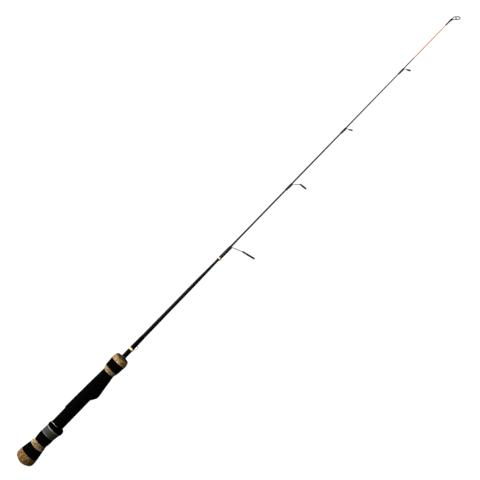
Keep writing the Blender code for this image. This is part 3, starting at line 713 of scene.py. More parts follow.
def cork_relief(salt, faces, shade_from=None):
    """Relief for a cork ring: faces are the stations of its glued ends; from the station given last, painted
    shade darkens the cup in the front face and the front of the ring round it.
    """

    def relief(points):
        wander = np.stack([grain(points, 1.1 * MM, salt + k) for k in range(3)], axis=-1) - 0.5
        warped = points + wander * 1.1 * MM
        near, far, tone = granules(warped, 2.3 * MM, salt)
        small_near, small_far, small = granules(warped, 1.25 * MM, salt + 7)
        seam = ease(0.10, 0.02, far - near) * ease(0.45, 0.6, grain(points, 2.6 * MM, salt + 90))
        void = ease(0.80, 0.95, near) * 0.9
        bark = np.where(small < 0.15, ease(0.16, 0.30, small_far - small_near), 0.0)
        bark = np.maximum(bark, np.maximum(seam * 0.9, void))
        shift = 0.05 * MM * (grain(points, 1.4 * MM, salt + 3) - 0.5)
        shift = shift + 0.05 * MM * (tone - 0.5)
        shift = shift - 0.12 * MM * np.maximum(void, seam) - 0.03 * MM * bark
        x = points[..., 0]
        edge = np.zeros(x.shape)
        for face in faces:
            edge = np.maximum(edge, ease(0.55 * MM, 0.1 * MM, np.abs(x - face * MM)))
        # painted shade: the cup and the front of the ring are darkened through the same dark mark as the
        # flecks
        if shade_from:
            recess_shade = ease(8.2 * MM, 7.7 * MM, radius_of(points)) * ease(shade_from * MM, (shade_from + 0.3) * MM, x)
            lip = 0.8 * ease((shade_from + 1.9) * MM, (shade_from + 3.1) * MM, x)
            bark = np.maximum(bark, np.maximum(recess_shade, lip))
        return shift, {"tone": tone, "bark": bark * (1 - 0.8 * edge), "edge": edge}

    return relief


def foam_relief(points):
    shift = 0.05 * MM * (grain(points, 1.7 * MM, 5) - 0.5) + 0.02 * MM * (grain(points, 0.5 * MM, 8) - 0.5)
    return shift, {}


def winding(depth):
    """Ridge for each turn of thread."""

    def relief(points):
        saw = (points[..., 0] / (WRAP_PITCH * MM) - angle_of(points) / TAU) % 1.0
        return depth * MM * (np.sin(pi * saw) - 0.6), {}

    return relief


# ---- handle

FINE_CORK = 0.22
CORK_COLUMNS = 320
FINE_FOAM = 0.35
FOAM_COLUMNS = 160

BLANK_TABLE = (
    (6.0, 2.60), (180.0, 2.60), (212.0, 2.56), (234.0, 2.50), (258.0, 2.33), (283.0, 2.28), (307.0, 2.15),
    (332.0, 1.74), (368.0, 1.28), (380.0, 1.13), (405.0, 1.03), (453.0, 0.99), (502.0, 0.93), (551.0, 0.87),
    (600.0, 0.78), (648.0, 0.68), (687.4, 0.60), (742.0, 0.52), (752.0, 0.40),
)


def blank_radius(x):
    """Blank radius in millimetres at a station in millimetres."""
    return table_value(BLANK_TABLE, x)


BORE = blank_radius(20.0) + 0.05

# station and radius from the rear face of each piece
DOME = (
    (0.5, 0.08), (0.52, 1.0), (0.6, 2.0), (0.85, 3.2), (1.3, 4.5), (1.85, 5.7), (2.45, 6.9), (3.1, 8.1),
    (3.8, 9.35), (4.85, 10.7), (6.2, 11.75), (8.0, 12.38), (10.2, 12.5), (12.8, 12.3), (14.75, 12.07),
    (15.04, 11.95), (15.1, 11.7),
)
BUTT_FOAM = (
    (0.0, 11.75), (0.06, 11.93), (0.35, 11.97), (2.5, 11.7), (6.1, 11.1), (9.4, 10.5), (12.35, 10.0),
    (12.64, 9.92), (12.7, 9.75),
)
REAR_CORK = ((0.0, 9.7), (0.06, 9.84), (0.35, 9.88), (3.4, 9.4), (5.85, 8.95), (6.14, 8.86), (6.2, 8.7))
FORE_CORK = ((0.0, 7.6), (0.06, 7.74), (0.3, 7.83), (2.6, 8.5), (5.0, 9.08), (5.24, 9.1), (5.3, 8.95))
FORE_FOAM = (
    (0.0, 9.1), (0.06, 9.26), (0.3, 9.33), (3.0, 9.6), (7.2, 9.9), (11.3, 10.24), (11.54, 10.22),
    (11.6, 10.08),
)
NOSE = (
    (0.0, 10.1), (0.06, 10.26), (0.35, 10.36), (1.1, 10.42), (2.7, 10.4), (4.3, 10.1), (5.8, 9.55),
    (7.0, 8.85), (7.75, 8.3), (8.03, 7.85), (7.9, 7.5), (7.3, 7.0), (6.7, 6.5), (6.1, 5.8), (5.8, 5.1),
    (5.7, 4.55),
)
CHECK = (
    (0.0, 4.1), (0.05, 4.25), (0.2, 4.3), (1.9, 4.02), (3.3, 3.62), (4.1, 3.3), (4.35, 3.12), (4.5, 2.9),
)
NUT_GRIP = (
    (0.0, 8.52), (0.05, 8.66), (0.25, 8.74), (1.7, 8.9), (4.4, 9.42), (7.0, 9.6), (11.05, 9.62),
    (11.3, 9.55), (11.35, 9.4),
)


def cork_ring(name, outline, bore, salt):
    turned(name, outline, bore, CORK, CORK_COLUMNS, FINE_CORK, cork_relief(salt, ends_of(name)))


def butt():
    """Domed cork cap, foam section and the cork ring behind the lock nut."""
    begin, finish = ends_of("butt_cork_cap")
    length, width = finish - begin, top_of("butt_cork_cap")
    full_length, full_width = DOME[-1][0], max(r for _, r in DOME)
    loft = Loft(CORK_COLUMNS)
    for x, r in DOME[:-1]:
        loft.ring(begin + x * length / full_length, r * width / full_width, FINE_CORK)
    loft.corners((finish, DOME[-1][1]), (finish, BORE), (start_of("blank") - 0.1, BORE))
    relief = cork_relief(3, (finish,))
    lofted("butt_cork_dome", loft, CAP_CORK, "butt_cork_cap", relief, loop=False)
    turned("butt_eva", BUTT_FOAM, BORE, FOAM, FOAM_COLUMNS, FINE_FOAM, foam_relief)
    cork_ring("rear_cork_ring", REAR_CORK, BORE, 19)


def fore_grip():
    """Cork, foam and cork ahead of the seat, then the winding check."""
    bore = blank_radius(170.0) + 0.05
    cork_ring("fore_cork_ring", FORE_CORK, bore, 41)
    turned("fore_eva", FORE_FOAM, bore, FOAM, FOAM_COLUMNS, FINE_FOAM, foam_relief)
    begin = start_of("front_cork_ring")
    seat = begin + NOSE[-1][0]
    loft = Loft(CORK_COLUMNS)
    loft.rings(*((begin + x, r, FINE_CORK) for x, r in NOSE))
    loft.corners((seat, 4.4), (seat, bore), (begin, bore))
    # the last argument starts the painted shade of the front cup, 4 mm into the ring
    relief = cork_relief(57, (begin,), begin + 4.0)
    lofted("front_cork_nose", loft, CORK, "front_cork_ring", relief)
    turned("winding_check", CHECK, blank_radius(177.0) + 0.05, GUNMETAL, 96, 0.08)


# ---- reel seat

BARREL = 8.15
BED = 7.85
CREST = 7.7
ROOT = 7.2
PITCH = 2.0
SEAT_THREAD = (37.0, 63.0)
NUT_THREAD = (38.0, 46.0)
SEAT_COLUMNS = 192
SQUARE_HALF_ANGLE = radians(26)

# station and radius of the palm swell on top, and of the fixed hood on the reel side
SWELL_TOP = (
    (86.0, 9.1), (93.0, 9.0), (105.3, 8.8), (119.9, 8.5), (134.5, 8.15), (149.0, 7.65), (153.3, 7.45),
)
HUMP = (
    (113.0, 7.85), (115.1, 8.7), (117.5, 9.9), (120.0, 11.15), (122.0, 12.05), (123.2, 12.3), (124.6, 12.2),
    (129.7, 11.45), (137.0, 10.3), (144.3, 9.35), (151.6, 8.15), (153.3, 7.95),
)
HUMP_STATIONS = (
    113.0, 114.0, 115.1, 117.5, 120.0, 121.2, 122.2, 123.2, 124.2, 125.5, 129.7, 133.0, 137.0, 144.3, 150.0,
)


def with_flat(radius, depth, angle):
    """Radius of a round bar with a flat on its reel side, the flat's edges slightly eased."""
    down = np.cos(angle)
    flat = depth / np.maximum(down, 0.3)
    soft = 0.05
    share = np.clip(0.5 + (flat - radius) / (2 * soft), 0.0, 1.0)
    eased = flat + (radius - flat) * share - soft * share * (1 - share)
    return np.where(down > 0.5, np.minimum(np.minimum(eased, radius), flat), radius)


def squared(top, depth, angle):
    """Section with a round top and a squarish hump of the given depth on the reel side."""
    off = np.abs((angle + pi) % TAU - pi)
    weight = 1.0 - ease(0.0, 1.0, (off - SQUARE_HALF_ANGLE) / radians(54))
    square = depth / np.maximum(np.cos(angle), cos(SQUARE_HALF_ANGLE))
    return top + (np.maximum(square, top) - top) * weight


def hump_section(x, angle):
    """Seat section over the fixed hood."""
    top, depth = table_value(SWELL_TOP, x), table_value(HUMP, x)
    if depth < top:
        return with_flat(top, depth, angle)
    return squared(top, depth, angle)


def pocket(name, start, end, high):
    """Cutter for the slot of one end of a reel foot, with an arched floor."""
    half, floor, count = 4.8, 10.6, 40
    outline = [(half, -high)]
    for k in range(count):
        y = half * (1 - 2 * (k / (count - 1)))
        outline.append((y, -floor + abs(y / half) ** 3.2))
    outline.append((-half, -high))
    rows = [[(x * MM, y * MM, z * MM) for y, z in outline] for x in (start, end)]
    return linked(name, make_mesh(name, *skin_arrays(np.array(rows))))


def threaded(points, ends, flank, fade):
    """Where points lie on a right-hand thread between two stations, and the share of its height there."""
    x, radius, angle = points[..., 0] / MM, radius_of(points) / MM, angle_of(points)
    saw = ((x - SEAT_THREAD[0]) / PITCH - angle / TAU) % 1.0
    ridge = ease(*flank, saw) * ease(1 - flank[0], 1 - flank[1], saw)
    lead = ease(ends[0] + fade[0], ends[0] + fade[1], x) * ease(ends[1] - fade[0], ends[1] - fade[1], x)
    return (x > ends[0]) & (x < ends[1]), radius, angle, ridge, lead


def reel_seat():
    """Threaded barrel with the flat foot bed, palm swell and fixed hood."""
    begin, finish = ends_of("reel_seat_body")
    loft = Loft(SEAT_COLUMNS)
    a = loft.angle
    barrel = with_flat(BARREL, BED, a)
    relief = with_flat(ROOT - 0.15, BED, a)
    loft.corners(
        (finish, BORE),
        (begin, BORE),
        (begin, relief - 0.3),
        (begin + 0.3, relief),
        (SEAT_THREAD[0] - 0.3, relief),
        (SEAT_THREAD[0], relief, 0.1),
        (SEAT_THREAD[1], relief),
        (SEAT_THREAD[1] + 0.25, relief, 0.1),
        (SEAT_THREAD[1] + 0.55, barrel, 1.5),
    )
    seam, half, fine = 83.3, 0.22, 0.06
    loft.rings(
        (seam - half - 0.12, barrel, fine),
        (seam - half, barrel - 0.06, fine),
        (seam - half * 0.4, barrel - 0.3, fine),
        (seam + half * 0.4, barrel - 0.3, fine),
        (seam + half, barrel - 0.06, fine),
        (seam + half + 0.12, barrel, 0.5),
    )
    edge = 86.0 + 10.0 * ((1 + np.cos(a)) / 2)
    swell = hump_section(86.0, a)
    rise = ease(0.0, 1.0, (1 - np.cos(a)) / 0.9)
    steps = ((-0.5, 0.0, 0.12), (-0.1, 0.05, 0.12), (0.35, 0.6, 0.12), (0.8, 0.97, 0.2), (1.6, 1.0, 0.6))
    for ahead, share, step in steps:
        loft.ring(edge + ahead, barrel + (swell - barrel) * rise * share, step)
    settled = ease(0.0, 1.0, (1 - np.cos(a)) / 0.5)
    loft.ring(106.0, barrel + (hump_section(106.0, a) - barrel) * settled, 0.7)
    loft.rings(*((x, hump_section(x, a), 0.45) for x in HUMP_STATIONS))
    loft.ring(finish - 0.3, hump_section(finish - 0.3, a), 0.1)
    front = hump_section(finish, a)
    loft.rings((finish - 0.06, front - 0.1, 0.1), (finish, front - 0.26))

    def thread(points):
        """Thread with sloped flanks and a rounded crest, cut off by the flat."""
        inside, radius, angle, ridge, lead = threaded(points, SEAT_THREAD, (0.16, 0.36), (0.1, 1.2))
        limit = with_flat(ROOT + (CREST - ROOT) * ridge * lead, BED, angle)
        return np.where(inside & (radius > BORE + 1.0), limit - radius, 0.0) * MM, {}

    seat = lofted("reel_seat", loft, SEAT, "reel_seat_body", thread)
    carve(seat, pocket("fixed_pocket", 109.0, 126.0, BED + 0.1))


def hood_front(angle):
    """Station of the hood's front face: set back on top, further forward at the sides and below."""
    top_front, side_front = start_of("hood_trim") - 0.1, end_of("sliding_hood")
    from_top = np.minimum(pi - np.abs((angle + pi) % TAU - pi), pi / 2)
    rounding = 0.15
    share = (np.sqrt(np.sin(from_top) ** 2 + rounding**2) - rounding) / (sqrt(1 + rounding**2) - rounding)
    return top_front + (side_front - top_front) * share


# share of the hood's length, radius on top and on the reel side
HOOD_SHAPE = (
    (0.0, 8.8, 10.75), (0.02, 9.0, 10.95), (0.12, 9.35, 11.4), (0.3, 9.6, 11.6), (0.42, 9.6, 11.5),
    (0.6, 9.45, 11.05), (0.76, 9.3, 10.4), (0.88, 9.12, 9.5), (0.97, 8.9, 8.75), (1.0, 8.7, 8.4),
)


def sliding_hood():
    """Keyed hood with its metal sleeve and the bright lip of the liner."""
    tube, rear = start_of("sliding_hood"), end_of("hood_sleeve") + 0.1
    loft = Loft(SEAT_COLUMNS)
    bore = with_flat(BARREL + 0.2, BED + 0.2, loft.angle)
    front = hood_front(loft.angle)
    loft.corners((tube, 8.65), (rear, 8.65))
    for share, top, depth in HOOD_SHAPE:
        loft.ring(rear + (front - rear) * share, squared(top, depth, loft.angle), 0.16, share == 1.0)
    loft.corners((front, bore), (tube, bore))
    hood = lofted("sliding_hood_shell", loft, HOOD, "sliding_hood", body="hood")
    carve(hood, pocket("slider_pocket", 58.4, 68.0, BED - 0.5))
    hood_sleeve()
    hood_lip()


def hood_sleeve():
    """Gunmetal sleeve, deeper on the reel side, with bright rims and a black groove behind the front rim."""
    begin, finish = ends_of("hood_sleeve")
    groove, rim, inner = finish - 2.3, finish - 1.75, 8.7
    loft = Loft(SEAT_COLUMNS)
    down = 1 + np.cos(loft.angle)

    def oval(top, depth):
        return top + (depth - top) * down / 2

    loft.corners((begin, inner), (begin, oval(9.1, 9.2), 0.1))
    loft.rings((begin + 0.12, oval(9.26, 9.38), 0.1), (begin + 0.45, oval(9.4, 9.53), 0.1))
    loft.corners((begin + 0.9, oval(9.42, 9.62), 0.4))
    loft.rings((begin + 5.2, oval(9.2, 10.25), 0.4))
    loft.corners(
        (groove, oval(9.12, 10.72)),
        (groove + 0.06, oval(8.9, 10.5)),
        (rim - 0.06, oval(8.9, 10.54)),
        (rim, oval(9.1, 10.84), 0.1),
    )
    loft.rings(
        (rim + 0.35, oval(9.16, 10.97), 0.1),
        (rim + 1.1, oval(9.16, 10.99), 0.1),
        (finish - 0.2, oval(9.05, 10.88), 0.1),
    )
    loft.corners((finish, oval(8.95, 10.75)), (finish, inner))
    looks = [GUNMETAL, CHAMFER, HOOD]
    sleeve = lofted("hood_sleeve_turned", loft, looks, "hood_sleeve", body="hood", degrees=30.0)

    def chosen(centres):
        x = centres[:, 0] / MM
        edge = (x < begin + 0.88) | (x > rim - 0.02)
        black = (x > groove + 0.01) & (x < rim - 0.02)
        return np.where(black, 2, np.where(edge, 1, 0))

    paint_faces(sleeve, chosen)


def hood_lip():
    """Bright lip of the hood's liner, an open ring along the hood's front face."""
    reach, count, sides, length = pi - radians(78), 120, 16, 0.2
    rows = []
    for i in range(count + 1):
        angle = pi - reach + 2 * reach * i / count
        end_ease = sqrt(min(1.0, min(i, count - i) / 3.0))
        half = 0.4 * (0.35 + 0.65 * end_ease) / 2
        middle = float(hood_front(angle)) + 0.1 + length
        section = []
        for k in range(sides):
            across, up = cos(TAU * k / sides), sin(TAU * k / sides)
            x = middle + length * np.sign(across) * abs(across) ** 0.6
            r = BARREL + 0.2 + half + half * np.sign(up) * abs(up) ** 0.6
            section.append(polar(x * MM, r * MM, angle))
        rows.append(section)
    mesh = make_mesh("hood_trim_lip", *skin_arrays(np.array(rows)))
    place("hood_trim_lip", mesh, STEEL, "hood_trim", "hood")


def paint_faces(made, chosen):
    """Picks the material of each face from its centre."""
    mesh = made.data
    centres = np.empty(len(mesh.polygons) * 3, np.float32)
    mesh.polygons.foreach_get("center", centres)
    index = chosen(centres.reshape(-1, 3)).astype(np.int32)
    mesh.polygons.foreach_set("material_index", index)


def lock_nut():
    """Threaded lock nut with its foam grip."""
    begin, finish = ends_of("lock_nut")
    small, relief = ROOT + 0.2, CREST + 0.2 + 0.15
    loft = Loft(144)
    loft.corners((finish, relief), (finish, 9.15, 0.1))
    loft.rings((finish - 0.12, 9.38, 0.1), (finish - 0.3, 9.45, 0.1))
    loft.corners((finish - 0.5, 9.42), (finish - 0.5, 8.4), (begin + 0.5, 8.4), (begin + 0.5, 8.72))
    loft.rings((begin + 0.25, 8.75, 0.1), (begin + 0.08, 8.66, 0.1))
    loft.corners(
        (begin, 8.45),
        (begin, relief),
        (NUT_THREAD[0] - 0.3, relief),
        (NUT_THREAD[0], relief, 0.1),
        (NUT_THREAD[1], relief),
    )

    def thread(points):
        inside, radius, _, ridge, lead = threaded(points, NUT_THREAD, (0.12, 0.32), (0.05, 0.8))
        cut = relief - (relief - small) * (1 - ridge) * lead
        return np.where(inside & (radius < relief + 0.05), cut - radius, 0.0) * MM, {}

    lofted("lock_nut_core", loft, HOOD, "lock_nut", thread, body="nut")
    turned("nut_grip", NUT_GRIP, 8.45, FOAM, FOAM_COLUMNS, 0.3, foam_relief, "nut")


# ---- blank and wraps

WRAP_COLUMNS = 72
SOFT_DEGREES = 60.0


def blank():
    """The tapered blank and its bright tip."""
    begin, finish = ends_of("blank")
    loft = Loft(48)
    loft.corners((begin, blank_radius(begin) - 0.1))
    loft.ring(begin + 0.1, blank_radius(begin), 4.0)
    loft.rings(*((x, blank_radius(x), 4.0) for x, _ in BLANK_TABLE if begin < x < finish))
    loft.ring(finish, blank_radius(finish))
    lofted("blank_graphite", loft, BLANK, "blank", loop=False)
    begin, finish = ends_of("tip_section")
    loft = Loft(32)
    loft.rings(*((x, blank_radius(x), 4.0) for x in (begin, 700.0, 720.0)))
    loft.ring(finish, blank_radius(finish))
    lofted("tip_painted", loft, ORANGE, "tip_section", loop=False)


def wound(name, looks, node, rows, ends, share, depth):
    """Thread wrap from smooth outer rows, a share of a turn apart, and sharp rows at its ends."""
    loft = Loft(WRAP_COLUMNS)
    loft.rings(*((x, r, WRAP_PITCH / share) for x, r in rows))
    loft.corners(*ends)
    return lofted(name, loft, looks, node, winding(depth), degrees=SOFT_DEGREES)


def sleeve_wrap(node, looks, rear, front):
    """Thread wrap on the bare blank, covered from rear to front, with feathered epoxy ends."""
    begin, finish = ends_of(node)

    def outer(x, trim=0.0):
        share = (x - begin) / (finish - begin)
        return blank_radius(x) + rear + (front - rear) * share - trim

    rows = [(begin, blank_radius(begin) + min(rear, 0.12)), (begin + 0.12, outer(begin + 0.12, rear * 0.3))]
    rows += [(x, outer(x)) for x in (begin + 0.5, (begin + finish) / 2, finish - 0.5)]
    rows += [(finish - 0.12, outer(finish - 0.12, front * 0.3))]
    ends = [(finish, blank_radius(finish) + cover) for cover in (min(front, 0.12), 0.04)]
    ends.append((begin, blank_radius(begin) + 0.04))
    return wound(node + "_wound", looks, node, rows, ends, 6, 0.014)


def butt_wraps():
    """Wraps ahead of the handle, the gold band between them and the hook keeper."""
    sleeve_wrap("butt_wrap", MATT_THREAD, 0.4, 0.4)
    band = sleeve_wrap("butt_wrap_band", [GOLD, MATT_THREAD], 0.75, 0.75)
    bright = start_of("butt_wrap_band") + 0.7
    paint_faces(band, lambda centres: np.where(centres[:, 0] / MM < bright, 1, 0))
    sleeve_wrap("keeper_wrap", MATT_THREAD, 0.4, 0.15)
    lo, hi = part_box("hook_keeper")
    begin, finish = lo.x / MM, hi.x / MM
    length = finish - begin
    deep = -lo.z / MM - 0.35
    high = deep - 1.9
    path = [
        (begin + 0.2, 0.0, -high),
        (begin + 0.11 * length, 0.0, -high - 0.9),
        (begin + 0.28 * length, 0.0, -deep),
        (begin + 0.55 * length, 0.0, -deep),
        (begin + 0.78 * length, 0.0, -high - 1.0),
        (finish - 0.2, 0.0, -high),
    ]
    mesh = make_mesh("hook_keeper_wire", *skin_arrays(tube_points(path, [0.3] * len(path), 20)))
    place("hook_keeper_wire", mesh, STEEL, "hook_keeper")


# ---- guides

# node, ring's station, drop, radius, lean in degrees and thickness, wrap's ends
GUIDES = (
    ("guide_1", 374.4, 22.9, 9.1, 13.0, 2.2, 344.0, 366.7),
    ("guide_2", 480.7, 12.4, 5.1, 5.0, 1.6, 463.2, 473.4),
    ("guide_3", 570.5, 5.9, 2.8, 32.0, 1.3, 559.0, 568.0),
    ("guide_4", 671.9, 5.8, 2.8, 28.0, 1.3, 659.6, 669.2),
)


def outward(circles):
    """Radius of the skin stretched round several circles (y, z, r), at each column of a wrap."""
    angle = Loft(WRAP_COLUMNS).angle
    turn = TAU * np.arange(48) / 48
    cloud = [np.stack((y + r * np.cos(turn), z + r * np.sin(turn)), axis=1) for y, z, r in circles]
    turn = np.concatenate((turn, turn + pi / 48))
    normals = np.stack((np.cos(turn), np.sin(turn)))
    support = (np.concatenate(cloud) @ normals).max(axis=0)
    facing = np.stack((np.sin(angle), -np.cos(angle)), axis=1) @ normals
    return np.where(facing > 0.05, support / np.maximum(facing, 0.05), 1e9).min(axis=1)


def ring_profile(inner, outer, thickness, count=28):
    """Section of a polished ring insert: flat at the holder, fully rounded on the line side."""
    half, wall = thickness / 2, outer - inner
    points = [(-half, outer), (-half * 0.98, outer - wall * 0.25)]
    for k in range(count + 1):
        t = pi * k / count
        along = -half * 0.92 * cos(t) * (1 - 0.12 * sin(t))
        points.append((along, outer - wall * (0.35 + 0.65 * sin(t) ** 0.8)))
    return points + [(half * 0.98, outer - wall * 0.25), (half, outer)]


def holder_profile(inner, outer, thickness):
    """Section of a ring holder with rounded outer edges."""
    half = thickness / 2
    rear = [(-half, inner), (-half, inner + 0.1), (-half, outer - 0.22), (-half * 0.8, outer - 0.06)]
    rear.append((-half * 0.55, outer))
    return rear + [(-along, radius) for along, radius in reversed(rear)]


def holder(centre, lean, size, wall, thick, sides):
    return skin_arrays(hoop_points(centre, lean, holder_profile(size - wall, size, thick), sides), True)


def insert_mesh(name, centre, lean, outer, wall, thick, sides):
    profile = ring_profile(outer - wall, outer, thick)
    return make_mesh(name, *skin_arrays(hoop_points(centre, lean, profile, sides), True))


def rim_point(centre, lean, spread, reach, hand):
    """Point on a leaning ring, an angle away from the point nearest the rod."""
    side = np.array((0.0, 1.0, 0.0))
    return centre - down_at(lean) * cos(spread) * reach + side * hand * sin(spread) * reach


def guide(name, at, drop, size, lean, thick, start, end):
    """Guide with a brazed wire foot, ring holder, ceramic insert and its thread wrap."""
    lean = radians(lean)
    centre = np.array((at, 0.0, -drop))
    wall = max(0.08 * size, 0.42)
    sides = 128 if size > 4 else 80
    wire = 0.035 * size + 0.15
    half_gap = wire * 0.42
    foot_start, foot_end = start + 1.6, end - 0.5

    def foot_radius(x):
        return wire * (0.4 + 0.6 * min(max((x - foot_start) / (foot_end - foot_start), 0.0), 1.0))

    def foot_drop(x):
        return blank_radius(x) + 0.05 + foot_radius(x)

    stations = (foot_start, (foot_start + foot_end) / 2, foot_end)
    radii = [foot_radius(x) for x in stations] + [wire, wire * 0.88, wire * 0.72]
    parts = [holder(centre, lean, size, wall, thick * 0.65, sides)]
    for hand in (1, -1):
        path = [np.array((x, hand * half_gap, -foot_drop(x))) for x in stations]
        knee = path[-1] + np.array((1.0, 0.0, 0.0))
        meet = rim_point(centre, lean, radians(38), size - wall / 2, hand)
        middle = knee - np.array((0.0, hand * half_gap, 0.0))
        bend = middle * 0.35 + meet * 0.65 + np.array((0.0, 1.0, 0.0)) * hand * size * 0.12
        parts.append(skin_arrays(tube_points(path + [knee, bend, meet], radii, 24)))
    voxel = 0.08 if size > 7 else 0.06 if size > 4 else 0.045
    mesh = fused(name + "_bent_frame", parts, voxel, 3)
    place(name + "_bent_frame", mesh, PLATED, name + "_frame", degrees=SOFT_DEGREES)
    mesh = insert_mesh(name + "_insert", centre, lean, size - wall - 0.05, max(0.1 * size, 0.5), thick, sides)
    place(name + "_insert", mesh, CERAMIC, name + "_ring", degrees=50.0)

    def section(x, extra):
        """The wrap's radius: round at its rear end, then stretched over the foot's two wires."""
        radius = blank_radius(x) + 0.05
        near = max(x, foot_start)
        feet = [(hand * half_gap, -foot_drop(near), foot_radius(near)) for hand in (1, -1)]
        full = outward([(0.0, 0.0, radius)] + feet)
        if x >= foot_start:
            return full + extra
        share = min(max((x - start) / (foot_start - start), 0.0), 1.0)
        return radius + (full - radius) * ease(0.0, 1.0, share) + extra

    cover = 0.3
    count = max(5, int((end - start) / 1.6))
    rows = [(start, 0.05), (start + 0.15, cover * 0.65), (start + 0.5, cover)]
    rows += [(start + 0.5 + (end - start - 1.0) * k / count, cover) for k in range(1, count)]
    rows += [(end - 0.5, cover), (end - 0.15, cover * 0.65)]
    rows = [(x, section(x, extra)) for x, extra in rows]
    ends = [
        (end, section(end, 0.05)),
        (end, section(end, 0.02) - 0.01),
        (foot_start, section(foot_start, 0.02) - 0.01),
        (foot_start - 0.4, blank_radius(foot_start) + 0.04),
        (start, blank_radius(start) + 0.04),
    ]
    wound(name + "_wound", THREAD, name + "_wrap", rows, ends, 5, 0.012)
    if name == "guide_1":
        first_band(section)


def first_band(section):
    """Narrow metallic band over the rear of the first guide's wrap."""
    begin, finish = start_of("guide_1_band") + 0.4, end_of("guide_1_band")
    rows = [(begin, 0.24), (begin + 0.12, 0.4), (begin + 0.4, 0.5), (finish - 0.4, 0.5), (finish - 0.12, 0.4)]
    rows = [(x, section(x, extra)) for x, extra in rows]
    ends = [(x, section(x, extra)) for x, extra in ((finish, 0.24), (finish, 0.21), (begin, 0.21))]
    wound("guide_1_gold_band", GOLD, "guide_1_band", rows, ends, 6, 0.012)


# distance along the tip-top's tube and share of its radius
TIP_TUBE = (
    (0.0, 0.66), (0.1, 0.74), (0.4, 0.84), (5.0, 0.88), (5.25, 0.93), (5.6, 1.04), (10.0, 1.0), (10.8, 0.94),
    (11.1, 0.78),
)


def tip_top():
    """Tube over the tip with two wires out to a small leaning ring, turned a little about the tip."""
    tube_start, tube_end = start_of("tip_top_frame"), 753.7
    lean, twist = radians(40), Matrix.Rotation(radians(-38), 4, "X")
    centre = np.array((758.1, 0.0, -5.8))
    size, wall, thick, sides = 3.1, 0.45, 1.2, 80
    radius, bore = 0.95, blank_radius(tube_start) + 0.05
    loft = Loft(48)
    loft.corners((tube_start, bore))
    loft.rings(*((tube_start + x, radius * share, 0.2) for x, share in TIP_TUBE))
    loft.corners((tube_end, radius * 0.4), (tube_end - 1.3, 0.02), (tube_end - 1.3, bore))
    x, r, _ = loft.rows()
    parts = [skin_arrays(polar(x, r, loft.angle), True), holder(centre, lean, size, wall, thick * 0.7, sides)]
    for hand in (1, -1):
        meet = rim_point(centre, lean, radians(80), size - wall / 2, hand)
        path = [
            (tube_end - 2.8, hand * 0.45, -0.5),
            (tube_end, hand * 1.1, -1.2),
            (tube_end + 2.0, hand * 2.6, -2.3),
            tuple(meet),
        ]
        parts.append(skin_arrays(tube_points(path, [0.45, 0.5, 0.46, 0.4], 24)))
    mesh = fused("tip_top_wire", parts, 0.05, 2)
    mesh.transform(twist)
    place("tip_top_wire", mesh, PLATED, "tip_top_frame", degrees=SOFT_DEGREES)
    mesh = insert_mesh("tip_top_insert", centre, lean, size - wall - 0.05, 0.45, thick, sides)
    mesh.transform(twist)
    place("tip_top_insert", mesh, CERAMIC, "tip_top_ring", degrees=50.0)


# ---- studio

SURROUND = 1.05
CAMERA_DISTANCE = 1.2176
CAMERA_ROLL = radians(-45.84)
CAMERA_AHEAD, CAMERA_BELOW = 0.35 * MM, 2.49 * MM


def sky():
    """White surround for the camera and a dim, top-heavy surround for lighting the object."""
    world = bpy.data.worlds.new("studio")
    bpy.context.scene.world = world
    world.use_nodes = True
    nodes = Nodes(world.node_tree)
    white = nodes.tree.nodes["Background"]
    nodes.feed(white, "Color", WHITE)
    nodes.feed(white, "Strength", SURROUND)
    height = nodes.add("SeparateXYZ", {0: nodes.add("TexCoord").outputs["Generated"]}).outputs["Z"]
    strength = nodes.add("MapRange", {0: height, 1: -0.4, 2: 0.9, 3: 0.09, 4: 0.42}).outputs[0]
    warmth = nodes.ramp(strength, (0.09, (1.0, 0.88, 0.72)), (0.42, WHITE))
    dim = nodes.add("Background", {"Color": warmth, "Strength": strength})
    seen = nodes.add("LightPath").outputs["Is Camera Ray"]
    mix = nodes.add("MixShader", {0: seen, 1: dim.outputs[0], 2: white.outputs[0]})
    nodes.feed(nodes.tree.nodes["World Output"], "Surface", mix.outputs[0])


def glossy_pieces():
    """The varnished guide wraps and gold bands, which alone catch the long light by the camera."""
    chosen = bpy.data.collections.new("glossy_pieces")
    for each in bpy.context.scene.objects:
        if each.type == "MESH" and any(m in (THREAD, GOLD) for m in each.data.materials):
            chosen.objects.link(each)
    return chosen


def softbox(name, position, target, width, height, power):
    data = bpy.data.lights.new(name, "AREA")
    data.shape = "RECTANGLE"
    data.size, data.size_y = width, height
    data.energy = power
    lamp = linked(name, data)
    lamp.location = position
    aim = Vector(target) - Vector(position)
    lamp.rotation_euler = aim.to_track_quat("-Z", "Y").to_euler()
    lamp.visible_camera = False
    return lamp


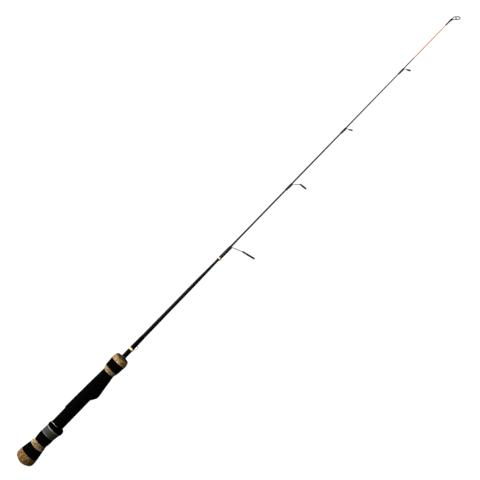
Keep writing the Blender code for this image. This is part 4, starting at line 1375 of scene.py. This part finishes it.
def floor(z):
    """Pale floor just under the object; at a glancing look it fades into the white surround."""
    half = 12.0
    corners = [(-half, -half, z), (half, -half, z), (half, half, z), (-half, half, z)]
    mesh = bpy.data.meshes.new("floor")
    mesh.from_pydata(corners, [], [(0, 1, 2, 3)])
    made = linked("floor", mesh)
    look = Look("pale_floor", Base_Color=(0.86, 0.86, 0.86), Roughness=0.9, Specular_IOR_Level=0.0)
    look.set(Emission_Color=WHITE, Emission_Strength=0.36)
    glancing = look.span(look.add("LayerWeight", {"Blend": 0.5}).outputs["Facing"], 0.72, 0.9)
    glow = look.add("Emission", {"Color": WHITE, "Strength": SURROUND})
    mix = look.add("MixShader", {0: glancing, 1: look.shader.outputs[0], 2: glow.outputs[0]})
    look.feed(look.tree.nodes["Material Output"], "Surface", mix.outputs[0])
    mesh.materials.append(look.material)
    made.visible_diffuse = False
    made.visible_glossy = False


def studio():
    """Surround, floor, three soft lights and the camera, square on to the rod and rolled."""
    lo, hi = CAD_BOX
    x = ((lo + hi) / 2).x
    sky()
    floor(lo.z - 0.6 * MM)
    target = (x, 0.0, 0.0)
    softbox("key_light", (x - 0.3, -0.75, 1.15), target, 1.5, 0.7, 17.0)
    softbox("back_light", (x + 0.2, 0.9, 0.8), target, 1.4, 0.5, 2.0)
    strip = softbox("front_strip", (x, -1.5, -0.2), target, 2.2, 0.7, 42.0)
    strip.light_linking.receiver_collection = glossy_pieces()
    data = bpy.data.cameras.new("camera")
    data.sensor_width = 36.0
    data.lens = 75.0
    data.clip_start = 0.05
    camera = linked("camera", data)
    place_at = Matrix.Translation((x + CAMERA_AHEAD, -CAMERA_DISTANCE, -CAMERA_BELOW))
    upright = Matrix.Rotation(radians(90.0), 4, "X")
    camera.matrix_world = place_at @ upright @ Matrix.Rotation(CAMERA_ROLL, 4, "Z")
    bpy.context.scene.camera = camera
    bpy.context.scene.view_settings.view_transform = "Standard"


blank()
butt()
reel_seat()
sliding_hood()
lock_nut()
fore_grip()
butt_wraps()
for row in GUIDES:
    guide(*row)
tip_top()
studio()
